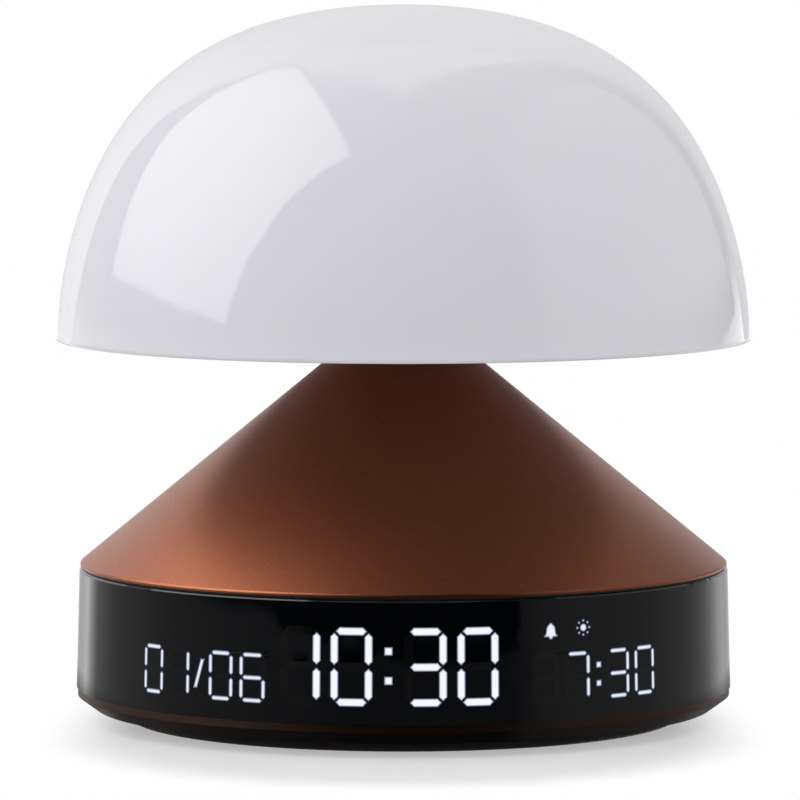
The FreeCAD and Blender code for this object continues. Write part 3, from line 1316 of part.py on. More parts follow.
def base_pieces():
    """Make the tray with its grille, bosses and groove, the foot ring and the base screws."""
    tray = new_body("base_tray")
    fence = "speaker_radius + slip_fit"
    turn(tray, "tray_turned", [
        ("0", "foot_height"),
        ("foot_bore - slip_fit", "foot_height"),
        ("foot_bore - slip_fit", "foot_height + foot_sink"),
        ("foot_radius + slip_fit", "foot_height + foot_sink"),
        ("foot_radius + slip_fit", "foot_height"),
        ("tray_radius - tray_chamfer_width", "foot_height"),
        ("tray_radius", "foot_height + tray_chamfer_height"),
        ("tray_radius", "band_bottom"),
        ("spigot_radius", "band_bottom"),
        ("spigot_radius", "tray_spigot_top"),
        ("spigot_bore", "tray_spigot_top"),
        ("spigot_bore", "tray_floor_top"),
        (f"{fence} + speaker_fence_wall", "tray_floor_top"),
        (f"{fence} + speaker_fence_wall", "tray_floor_top + speaker_fence_height"),
        (fence, "tray_floor_top + speaker_fence_height"),
        (fence, "tray_floor_top"),
        ("0", "tray_floor_top"),
    ])
    boss = turn(tray, "tray_boss", box_corners("post_circle", "post_circle + post_radius",
                                               "tray_floor_top", "tray_floor_top + tray_boss_height"),
                spin="45", axis=("upright", "post_circle"))
    around(tray, "tray_bosses", [boss], "post_count")
    sink = turn(tray, "tray_screw_hole", [
        ("post_circle", "foot_height"),
        ("post_circle + screw_head_radius", "foot_height"),
        ("post_circle + screw_radius + slip_fit",
         "foot_height + screw_head_radius - screw_radius - slip_fit"),
        ("post_circle + screw_radius + slip_fit", "tray_floor_top + tray_boss_height"),
        ("post_circle", "tray_floor_top + tray_boss_height"),
    ], spin="45", axis=("upright", "post_circle"), cut=True)
    around(tray, "tray_screw_holes", [sink], "post_count")
    prism(tray, "grille_middle", [("circle", "0", "0", "grille_hole_radius")], "foot_height",
          "tray_floor_top", cut=True)
    for ring in (1, 2):
        hole_ring(tray, f"grille_ring_{ring}", f"{ring} * grille_pitch", f"{ring} * grille_count",
                  "grille_hole_radius", "foot_height", "tray_floor_top")
    keep(tray)

    foot = new_body("foot_ring")
    turn(foot, "foot_turned", box_corners("foot_bore", "foot_radius", "0", "foot_height + foot_sink"))
    dress_edges(foot, "foot_rounding", "Fillet", "foot_round",
                [(size("foot_radius"), 0.0), (size("foot_bore"), 0.0)])
    gap = box_corners("-foot_gap_width / 2", "foot_gap_width / 2", "-overcut", "foot_gap_height")
    for index, angle in enumerate(FOOT_GAP_ANGLES, start=1):
        prism(foot, f"foot_gap_{index}", [gap], "foot_bore - overcut", "foot_radius + overcut", "out",
              spin=angle, cut=True)
    keep(foot)
    return upright_screws("base_screws", "", "post_circle", "post_count", "foot_height",
                          "tray_floor + tray_boss_height + base_screw_grip", spin="45", flush=True,
                          down=False)


def check_document():
    """Stop if any object failed or any piece has no sound shape."""
    doc.recompute()
    for item in doc.Objects:
        if "Invalid" in item.State or "Error" in item.State:
            raise RuntimeError(f"{item.Label} did not compute: {item.State}")
    for piece in pieces:
        shape = piece.Shape
        if shape.isNull() or not shape.isValid() or not shape.Solids:
            raise RuntimeError(f"{piece.Label} has no sound shape")


def write_pieces():
    """Write each piece to a file of its own."""
    os.makedirs("parts", exist_ok=True)
    for piece in pieces:
        piece.Shape.exportStep(f"parts/{piece.Label}.step")


shade_piece()
shade_floor_piece()
hub_pieces()
lamp_pieces()
neck_pieces()
cone_piece()
tower_pieces()
spring_piece()
snooze_pieces()
chassis_piece()
display_pieces()
rear_pieces()
board_pieces()
speaker_pieces()
base_pieces()
check_document()
write_pieces()
print(len(pieces), "pieces written")
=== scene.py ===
"""The looks of a sunrise alarm clock with an opal shade, a copper cone and a black display band."""

import logging
import math
from dataclasses import dataclass, field
from enum import Enum
from typing import ClassVar

import bmesh
import bpy
import numpy as np
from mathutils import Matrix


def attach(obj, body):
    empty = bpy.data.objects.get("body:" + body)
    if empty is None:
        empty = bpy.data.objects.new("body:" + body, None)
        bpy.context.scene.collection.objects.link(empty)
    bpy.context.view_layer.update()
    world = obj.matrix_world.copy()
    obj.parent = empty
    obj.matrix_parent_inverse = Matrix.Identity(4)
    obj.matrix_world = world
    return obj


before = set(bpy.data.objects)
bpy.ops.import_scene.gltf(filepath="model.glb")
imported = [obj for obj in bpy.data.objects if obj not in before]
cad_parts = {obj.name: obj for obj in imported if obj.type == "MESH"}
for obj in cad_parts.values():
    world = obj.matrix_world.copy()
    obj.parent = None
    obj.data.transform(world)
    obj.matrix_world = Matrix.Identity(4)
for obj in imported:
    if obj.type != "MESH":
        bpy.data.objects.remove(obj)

MM = 0.001
MM_PER_M = 1000.0
Tree, Node, Socket, Piece = bpy.types.NodeTree, bpy.types.Node, bpy.types.NodeSocket, bpy.types.Object
Numbers, Names = ClassVar[tuple[float, ...]], ClassVar[tuple[str, ...]]
log = logging.getLogger("alarm clock")


def linear(colour: str) -> tuple[float, float, float, float]:
    """Turn an sRGB hex colour into the linear values that a shader takes.

    Args:
        colour: six hex digits after a hash sign.

    Returns:
        Red, green, blue and an alpha of one.
    """
    parts = [int(colour[i:i + 2], 16) / 255 for i in (1, 3, 5)]
    curve = [c / 12.92 if c <= 0.04045 else ((c + 0.055) / 1.055) ** 2.4 for c in parts]
    return (curve[0], curve[1], curve[2], 1.0)


def set_inputs(node: Node, sockets: dict) -> None:
    """Give each input, by name or number, its value or the socket that feeds it."""
    for name, value in sockets.items():
        if isinstance(value, Socket):
            node.id_data.links.new(value, node.inputs[name])
        else:
            node.inputs[name].default_value = value


def add_node(tree: Tree, kind: str, sockets: dict | None = None,
             **settings: object) -> Node:
    """Add a node, set it up and link it.

    Args:
        tree: the material's or world's node tree.
        kind: Blender's name of the node type, without the ShaderNode that it starts with.
        sockets: for each input, by name or number, a value or the socket that feeds it.
        settings: the node's own properties.

    Returns:
        The new node.
    """
    node = tree.nodes.new("ShaderNode" + kind)
    for name, value in settings.items():
        setattr(node, name, value)
    set_inputs(node, sockets or {})
    return node


def make_mesh(name: str, points: np.ndarray, faces: np.ndarray) -> Piece:
    """Put points and faces in a new smooth object at the origin.

    Args:
        name: the object's name.
        points: one row of x, y and z per vertex, in metres.
        faces: one row of vertex numbers per face.

    Returns:
        The new object.
    """
    mesh = bpy.data.meshes.new(name)
    mesh.from_pydata(points.tolist(), [], faces.tolist())
    mesh.polygons.foreach_set("use_smooth", np.ones(len(mesh.polygons), bool))
    mesh.update()
    piece = bpy.data.objects.new(name, mesh)
    bpy.context.scene.collection.objects.link(piece)
    return piece


def grid_faces(rows: int, columns: int, closed: bool = False) -> np.ndarray:
    """Number the four-cornered faces of a grid of points stored row by row.

    Args:
        rows: how many rows of points.
        columns: how many points in a row.
        closed: whether each row runs round to its first point.

    Returns:
        One row of four vertex numbers per face.
    """
    row = np.arange(rows - 1)[:, None]
    column = np.arange(columns if closed else columns - 1)[None, :]
    after = (column + 1) % columns
    corners = [row * columns + column, row * columns + after,
               (row + 1) * columns + after, (row + 1) * columns + column]
    return np.stack([np.broadcast_to(c, (rows - 1, column.shape[1])) for c in corners], -1).reshape(-1, 4)


def turn_outwards(points: np.ndarray, faces: np.ndarray) -> np.ndarray:
    """Reverse the faces that look at the clock's axis, by the cross product of their diagonals.

    Args:
        points: one row of x, y and z per vertex.
        faces: one row of four vertex numbers per face.

    Returns:
        The same faces, all looking away from the axis.
    """
    corner = points[faces]
    front = np.cross(corner[:, 2] - corner[:, 0], corner[:, 3] - corner[:, 1])
    away = corner.mean(1) * np.array([1.0, 1.0, 0.0])
    return np.where(((front * away).sum(1) < 0)[:, None], faces[:, ::-1], faces)


def store_value(piece: Piece, name: str, values: np.ndarray) -> None:
    """Keep one number per vertex on a piece, for its material to read."""
    piece.data.attributes.new(name, "FLOAT", "POINT").data.foreach_set("value", values.astype(np.float32))


@dataclass(frozen=True)
class Finish:
    """What every finish has: a name, and one material that is drawn when first asked for."""

    name: str

    def material(self) -> bpy.types.Material:
        """Give the finish's material, drawn once."""
        made = bpy.data.materials.get(self.name)
        if made is None:
            made = bpy.data.materials.new(self.name)
            made.use_nodes = True
            tree = made.node_tree
            place = add_node(tree, "TexCoord").outputs["Object"]
            self.draw(tree, tree.nodes["Principled BSDF"], place)
        return made

    def draw(self, tree: Tree, shader: Node, place: Socket) -> None:
        """Set the shader and draw the nodes that feed it.

        Args:
            tree: the material's nodes.
            shader: its main shader.
            place: the object coordinates, in metres.
        """
        raise NotImplementedError

    def dress(self, *pieces: Piece) -> None:
        """Put the finish on pieces, in every slot that they have."""
        for piece in pieces:
            if not piece.material_slots:
                piece.data.materials.append(self.material())
            for slot in piece.material_slots:
                slot.material = self.material()

    def cover(self, shader: Node, share: Socket, colours: tuple[str, str],
              height: Socket, height_mm: float, inputs: dict, strength: float = 1.0) -> None:
        """Tint the shader from one colour to the other, bend its skin, and set the rest of its inputs.

        Args:
            shader: the finish's main shader.
            share: nought where the first colour shows, and one where the second does.
            colours: the two colours, in hex.
            height: what lifts the skin.
            height_mm: how far it lifts it where it is one.
            inputs: for each other input of the shader, a value or the socket that feeds it.
            strength: how much of the lift the light shows.
        """
        tint = add_node(shader.id_data, "Mix", {
            0: share, 6: linear(colours[0]), 7: linear(colours[1])}, data_type="RGBA")
        skin = add_node(shader.id_data, "Bump", {
            "Height": height, "Strength": strength, "Distance": height_mm * MM})
        set_inputs(shader, {"Base Color": tint.outputs[2], "Normal": skin.outputs[0], **inputs})


@dataclass(frozen=True)
class OpalAcrylic(Finish):
    """Opal acrylic, injection moulded: milky, with light spread a few millimetres under a polished skin.

    The eye gets a soft white body that hardly shades, with crisp reflections of the lights on it. A slow
    waviness of the moulded skin bends those reflections a little.
    """

    colour: str = "#d6d6db"
    thin_colour: str = "#d9d9df"
    roughness: float = 0.045
    ior: float = 1.49
    depth_mm: float = 4.0
    spread: float = 0.35
    flow_mm: float = 45.0
    wave_mm: float = 16.0
    wave_height_mm: float = 0.012
    grain_mm: float = 0.5
    grain_height_mm: float = 0.0

    def draw(self, tree: Tree, shader: Node, place: Socket) -> None:
        """Mix two whites by the wall's flow and bend the skin, with a fine grain on it where it is satin."""
        flow = add_node(tree, "TexNoise", {
            "Vector": place, "Scale": MM_PER_M / self.flow_mm, "Detail": 2.0})
        wave = add_node(tree, "TexNoise", {
            "Vector": place, "Scale": MM_PER_M / self.wave_mm, "Detail": 1.0})
        self.cover(shader, flow.outputs[0], (self.colour, self.thin_colour), wave.outputs[0],
                   self.wave_height_mm, {
                       "Roughness": self.roughness, "IOR": self.ior, "Subsurface Weight": self.spread,
                       "Subsurface Radius": (1.0, 1.0, 1.05), "Subsurface Scale": self.depth_mm * MM})
        if self.grain_height_mm:
            grain = add_node(tree, "TexNoise", {
                "Vector": place, "Scale": MM_PER_M / self.grain_mm, "Detail": 3.0})
            skin = add_node(tree, "Bump", {
                "Height": grain.outputs[0], "Strength": 1.0, "Distance": self.grain_height_mm * MM,
                "Normal": shader.inputs["Normal"].links[0].from_socket})
            set_inputs(shader, {"Normal": skin.outputs[0]})


@dataclass(frozen=True)
class BlastedAnodising(Finish):
    """Aluminium, spun, bead blasted, anodised copper brown and sealed.

    The eye gets a satin metal: highlights spread wide and warm, a fine sparkle of blast pits, and over them
    the colourless sheen of the sealed oxide film. The pits of 0.1 mm grit are drawn 0.24 mm apart, as coarse
    as they need to be to show.
    """

    colour: str = "#a65f3f"
    dark_colour: str = "#8e5034"
    roughness: float = 0.39
    swing: float = 0.04
    pit_mm: float = 0.24
    pit_height_mm: float = 0.010
    film_weight: float = 0.22
    film_roughness: float = 0.35

    def draw(self, tree: Tree, shader: Node, place: Socket) -> None:
        """Pit the surface and let its colour and gloss vary with the pits."""
        pits = add_node(tree, "TexNoise", {
            "Vector": place, "Scale": MM_PER_M / self.pit_mm, "Detail": 3.0, "Roughness": 0.6})
        share = add_node(tree, "MapRange", {0: pits.outputs[0], 1: 0.35, 2: 0.65, 3: 0.0, 4: 1.0})
        gloss = add_node(tree, "MapRange", {
            0: pits.outputs[0], 1: 0.3, 2: 0.7, 3: self.roughness + self.swing,
            4: self.roughness - self.swing})
        self.cover(shader, share.outputs[0], (self.dark_colour, self.colour), pits.outputs[0],
                   self.pit_height_mm, {
                       "Roughness": gloss.outputs[0], "Metallic": 1.0, "Coat Weight": self.film_weight,
                       "Coat Roughness": self.film_roughness})


@dataclass(frozen=True)
class GlossAcrylic(Finish):
    """Smoked black acrylic with a hard coat, moulded and polished.

    The eye gets a black so deep that only reflections show, slightly bent by the moulded skin, with the
    faintest bluish haze where dust and wiping dull it.
    """

    colour: str = "#020305"
    haze_colour: str = "#030407"
    roughness: float = 0.035
    haze_roughness: float = 0.03
    ior: float = 1.49
    haze_mm: float = 14.0
    wave_mm: float = 9.0
    wave_height_mm: float = 0.002

    def draw(self, tree: Tree, shader: Node, place: Socket) -> None:
        """Haze the black a little and bend the skin."""
        haze = add_node(tree, "TexNoise", {
            "Vector": place, "Scale": MM_PER_M / self.haze_mm, "Detail": 4.0})
        gloss = add_node(tree, "MapRange", {
            0: haze.outputs[0], 1: 0.3, 2: 0.8, 3: self.roughness, 4: self.roughness + self.haze_roughness})
        wave = add_node(tree, "TexNoise", {
            "Vector": place, "Scale": MM_PER_M / self.wave_mm, "Detail": 1.0})
        self.cover(shader, haze.outputs[0], (self.colour, self.haze_colour), wave.outputs[0],
                   self.wave_height_mm, {"Roughness": gloss.outputs[0], "IOR": self.ior})


@dataclass(frozen=True)
class GlowingWindow(Finish):
    """Diffusing acrylic window lit from behind by white light-emitting diodes.

    The eye gets a cool white core that falls to a dark grey blue in the last third of a millimetre, where
    the masked wall of the light guide takes the light.
    """

    core: str = "#f6f7ff"
    rim: str = "#4a5878"
    unlit: str = "#202226"
    strength: float = 1.0
    roughness: float = 0.2
    grain_mm: float = 0.8
    edge_mm: float = 0.34
    reads_edge: bool = False

    def draw(self, tree: Tree, shader: Node, place: Socket) -> None:
        """Let the light fall off towards the window's edge where the piece says how far that is."""
        if self.reads_edge:
            edge = add_node(tree, "Attribute", attribute_name="edge")
            share = add_node(tree, "MapRange", {
                0: edge.outputs["Fac"], 1: 0.0, 2: self.edge_mm * MM, 3: 0.0, 4: 1.0},
                interpolation_type="SMOOTHSTEP")
        else:
            grain = add_node(tree, "TexNoise", {
                "Vector": place, "Scale": MM_PER_M / self.grain_mm, "Detail": 2.0})
            share = add_node(tree, "MapRange", {0: grain.outputs[0], 1: 0.2, 2: 0.8, 3: 0.8, 4: 1.0})
        tint = add_node(tree, "Mix", {
            0: share.outputs[0], 6: linear(self.rim), 7: linear(self.core)}, data_type="RGBA")
        set_inputs(shader, {"Emission Color": tint.outputs[2], "Emission Strength": self.strength,
                            "Base Color": linear(self.unlit), "Roughness": self.roughness})


@dataclass(frozen=True)
class MouldedPlastic(Finish):
    """ABS, injection moulded against a spark-eroded tool.

    The eye gets an even satin skin with a fine pebbled grain and slight sheen.
    """

    colour: str = "#17171a"
    worn_colour: str = "#1f1f22"
    roughness: float = 0.48
    swing: float = 0.06
    ior: float = 1.54
    patch_mm: float = 11.0
    grain_mm: float = 0.35
    grain_height_mm: float = 0.012

    def draw(self, tree: Tree, shader: Node, place: Socket) -> None:
        """Grain the skin, and let colour and gloss vary in patches, as wear does."""
        grain = add_node(tree, "TexNoise", {
            "Vector": place, "Scale": MM_PER_M / self.grain_mm, "Detail": 3.0})
        patch = add_node(tree, "TexNoise", {
            "Vector": place, "Scale": MM_PER_M / self.patch_mm, "Detail": 3.0})
        gloss = add_node(tree, "MapRange", {
            0: patch.outputs[0], 1: 0.3, 2: 0.7, 3: self.roughness + self.swing,
            4: self.roughness - self.swing})
        self.cover(shader, patch.outputs[0], (self.colour, self.worn_colour), grain.outputs[0],
                   self.grain_height_mm, {"Roughness": gloss.outputs[0], "IOR": self.ior})


@dataclass(frozen=True)
class MouldedRubber(Finish):
    """Silicone rubber, compression moulded.

    The eye gets a dry, dusty black with a soft sheen at glancing angles.
    """

    colour: str = "#101012"
    dust_colour: str = "#1c1c1d"
    roughness: float = 0.68
    ior: float = 1.43
    sheen: float = 0.15
    sheen_roughness: float = 0.5
    dust_mm: float = 5.0
    fine_mm: float = 0.3
    fine_height_mm: float = 0.015

    def draw(self, tree: Tree, shader: Node, place: Socket) -> None:
        """Dust the skin in patches and roughen it finely."""
        dust = add_node(tree, "TexNoise", {
            "Vector": place, "Scale": MM_PER_M / self.dust_mm, "Detail": 6.0})
        fine = add_node(tree, "TexNoise", {
            "Vector": place, "Scale": MM_PER_M / self.fine_mm, "Detail": 2.0})
        self.cover(shader, dust.outputs[0], (self.colour, self.dust_colour), fine.outputs[0],
                   self.fine_height_mm, {
                       "Roughness": self.roughness, "IOR": self.ior, "Sheen Weight": self.sheen,
                       "Sheen Roughness": self.sheen_roughness})


@dataclass(frozen=True)
class DrawnMetal(Finish):
    """Steel or brass, drawn or turned and lightly plated.

    The eye gets fine level lines left by the tool, and highlights drawn out across them.
    """

    colour: str = "#b9bbbf"
    dull_colour: str = "#96989c"
    roughness: float = 0.26
    bright_drop: float = 0.05
    dull_rise: float = 0.10
    patch_mm: float = 2.5
    line_mm: float = 0.18
    line_height_mm: float = 0.004

    def draw(self, tree: Tree, shader: Node, place: Socket) -> None:
        """Draw lines that are long across and short upright, and dull the metal in patches."""
        stretch = add_node(tree, "Mapping", {"Vector": place, "Scale": (0.08, 0.08, 1.0)})
        lines = add_node(tree, "TexNoise", {
            "Vector": stretch.outputs[0], "Scale": MM_PER_M / self.line_mm, "Detail": 2.0})
        patch = add_node(tree, "TexNoise", {
            "Vector": place, "Scale": MM_PER_M / self.patch_mm, "Detail": 4.0})
        gloss = add_node(tree, "MapRange", {
            0: patch.outputs[0], 1: 0.3, 2: 0.7, 3: self.roughness - self.bright_drop,
            4: self.roughness + self.dull_rise})
        self.cover(shader, patch.outputs[0], (self.colour, self.dull_colour), lines.outputs[0],
                   self.line_height_mm, {"Roughness": gloss.outputs[0], "Metallic": 1.0})


@dataclass(frozen=True)
class CircuitBoard(Finish):
    """Glass-fibre laminate with solder mask over etched copper tracks.

    The eye gets a glossy coloured lacquer, lighter where copper lies under it, with the cloth of the
    laminate just showing. The 0.25 mm tracks run 1.2 mm apart.
    """

    colour: str = "#0f4a2c"
    track_colour: str = "#1b6a40"
    roughness: float = 0.30
    pitch_mm: float = 1.2
    run_mm: float = 5.6
    half_track_mm: float = 0.12
    track_height_mm: float = 0.02
    lacquer_cover: float = 0.6
    cloth_mm: float = 0.45

    def draw(self, tree: Tree, shader: Node, place: Socket) -> None:
        """Draw tracks as the mortar of a running brick pattern, raised over the laminate's cloth."""
        tracks = add_node(tree, "TexBrick", {
            "Vector": place, "Color1": (0, 0, 0, 1), "Color2": (0, 0, 0, 1), "Mortar": (1, 1, 1, 1),
            "Scale": MM_PER_M, "Mortar Size": self.half_track_mm, "Mortar Smooth": 0.2,
            "Brick Width": self.run_mm, "Row Height": self.pitch_mm})
        cloth = add_node(tree, "TexChecker", {
            "Vector": place, "Scale": MM_PER_M / self.cloth_mm, "Color1": (0.4, 0.4, 0.4, 1),
            "Color2": (0.6, 0.6, 0.6, 1)})
        height = add_node(tree, "Math", {
            0: tracks.outputs["Fac"], 1: cloth.outputs["Fac"]}, operation="ADD")
        self.cover(shader, tracks.outputs["Fac"], (self.colour, self.track_colour), height.outputs[0],
                   self.track_height_mm, {"Roughness": self.roughness}, self.lacquer_cover)


@dataclass(frozen=True)
class PressedPaper(Finish):
    """Paper pulp, felted on a mesh and pressed, as on a small loudspeaker's cone.

    The eye gets a matt dark sheet with short fibres lying every way.
    """

    colour: str = "#1b1b1d"
    fibre_colour: str = "#303033"
    roughness: float = 0.85
    fibre_mm: float = 1.5
    fibre_height_mm: float = 0.06

    def draw(self, tree: Tree, shader: Node, place: Socket) -> None:
        """Lay fibres as bright streaks of a warped noise."""
        warp = add_node(tree, "TexNoise", {
            "Vector": place, "Scale": MM_PER_M / self.fibre_mm, "Detail": 5.0, "Distortion": 2.0})
        ridge = add_node(tree, "MapRange", {0: warp.outputs[0], 1: 0.45, 2: 0.55, 3: 0.0, 4: 1.0})
        self.cover(shader, ridge.outputs[0], (self.colour, self.fibre_colour), warp.outputs[0],
                   self.fibre_height_mm, {"Roughness": self.roughness})


class Finishes(Enum):
    """The clock's finishes, by the material slots of its record."""

    opal_shade = OpalAcrylic("opal_acrylic_moulded_and_polished")
    # The floor's opal is greyed far below the shade's white: painted shade, standing in for the shadow under
    # the shade that the copper cone reflects.
    opal_floor = OpalAcrylic("opal_acrylic_moulded_satin", colour="#a9a9ae", thin_colour="#b2b2b7",
                             roughness=0.42, grain_height_mm=0.02)
    copper_metal = BlastedAnodising("aluminium_bead_blasted_and_anodised_copper")
    # A darker copy of the copper, for the tray: painted shade, standing in for the shadow that the tray sits
    # in.
    bronze_metal = BlastedAnodising("aluminium_bead_blasted_and_anodised_bronze", colour="#604a3e",
                                    dark_colour="#4f3d33")
    gloss_black = GlossAcrylic("acrylic_smoked_black_hard_coated")
    dark_segment = GlossAcrylic("acrylic_smoked_window_unlit", colour="#08080a", haze_colour="#0b0b0d")
    lit_segment = GlowingWindow("acrylic_light_guide_lit_white")
    lit_face = GlowingWindow("acrylic_window_face_lit_white", reads_edge=True)
    lit_small_face = GlowingWindow("acrylic_small_window_face_lit_white", core="#eceffb", reads_edge=True)
    black_plastic = MouldedPlastic("abs_black_spark_eroded_grain")
    grey_plastic = MouldedPlastic("abs_grey_spark_eroded_grain", colour="#6d6f73", worn_colour="#7a7c80")
    white_plastic = MouldedPlastic("abs_white_spark_eroded_grain", colour="#d6d6d2", worn_colour="#e0e0dd")
    component_black = MouldedPlastic("epoxy_black_transfer_moulded", colour="#141416",
                                     worn_colour="#202023", roughness=0.55, grain_mm=0.2)
    black_rubber = MouldedRubber("silicone_rubber_black_compression_moulded")
    steel = DrawnMetal("steel_zinc_plated_cold_headed")
    spring_steel = DrawnMetal("spring_steel_drawn_and_oil_tempered", colour="#7d8087", dull_colour="#5c5f66",
                              roughness=0.30)
    brass = DrawnMetal("brass_turned", colour="#cfa960", dull_colour="#b08c48", roughness=0.24)
    magnet = DrawnMetal("ferrite_magnet_pressed_and_ground", colour="#4a4b50", dull_colour="#36373b",
                        roughness=0.45)
    green_board = CircuitBoard("laminate_with_green_solder_mask")
    white_board = CircuitBoard("laminate_with_white_solder_mask", colour="#d9dad6", track_colour="#e6e6e2",
                               roughness=0.38)
    amber_board = CircuitBoard("laminate_with_amber_solder_mask", colour="#b9802f", track_colour="#d09a4a")
    lamp_yellow = MouldedPlastic("phosphor_filled_silicone_lamp_dome", colour="#e2c65c",
                                 worn_colour="#ecd577", roughness=0.35, grain_mm=0.15)
    paper_cone = PressedPaper("paper_pulp_felted_and_pressed")


@dataclass(frozen=True)
class Panel:
    """A flat soft light: its points are centre + a * across + b * up, for a and b from -1 to 1."""

    name: str
    centre: tuple[float, float, float]
    across: tuple[float, float, float]
    up: tuple[float, float, float]
    matt_level: float
    gloss_level: float
    soft: float
    hollow: float = 0.0
    gains: tuple[float, float, float] = (1.0, 1.0, 1.0)
    steps: int = 41

    def glow(self, a: np.ndarray, b: np.ndarray) -> np.ndarray:
        """Give the light's share of full brightness at a and b.

        It fades smoothly over the soft share of each half side, is dimmer by the hollow share in its
        corners, and changes evenly between the gains at a of -1, 0 and 1.
        """
        edge = np.clip((1 - np.maximum(abs(a), abs(b))) / self.soft, 0, 1)
        gain = np.interp(a, (-1, 0, 1), self.gains)
        return edge * edge * (3 - 2 * edge) * (1 - self.hollow * (a * a + b * b) / 2) * gain

    def build(self, studio: "Studio") -> None:
        """Build the light twice at one place: for matt surfaces, with the ambient light, and for gloss."""
        share = np.linspace(-1, 1, self.steps)
        a, b = np.meshgrid(share, share, indexing="ij")
        centre, across, up = (np.array(row) for row in (self.centre, self.across, self.up))
        points = centre + a[..., None] * across + b[..., None] * up
        glow = self.glow(a, b).reshape(-1)
        seen = {"matt": studio.ambient + glow * self.matt_level, "gloss": glow * self.gloss_level}
        for kind, values in seen.items():
            panel = make_mesh(f"{self.name}_{kind}", points.reshape(-1, 3),
                              grid_faces(self.steps, self.steps))
            store_value(panel, "glow", values)
            studio.light_up(panel)
            studio.show_to(panel, matt=kind == "matt", gloss=kind == "gloss")


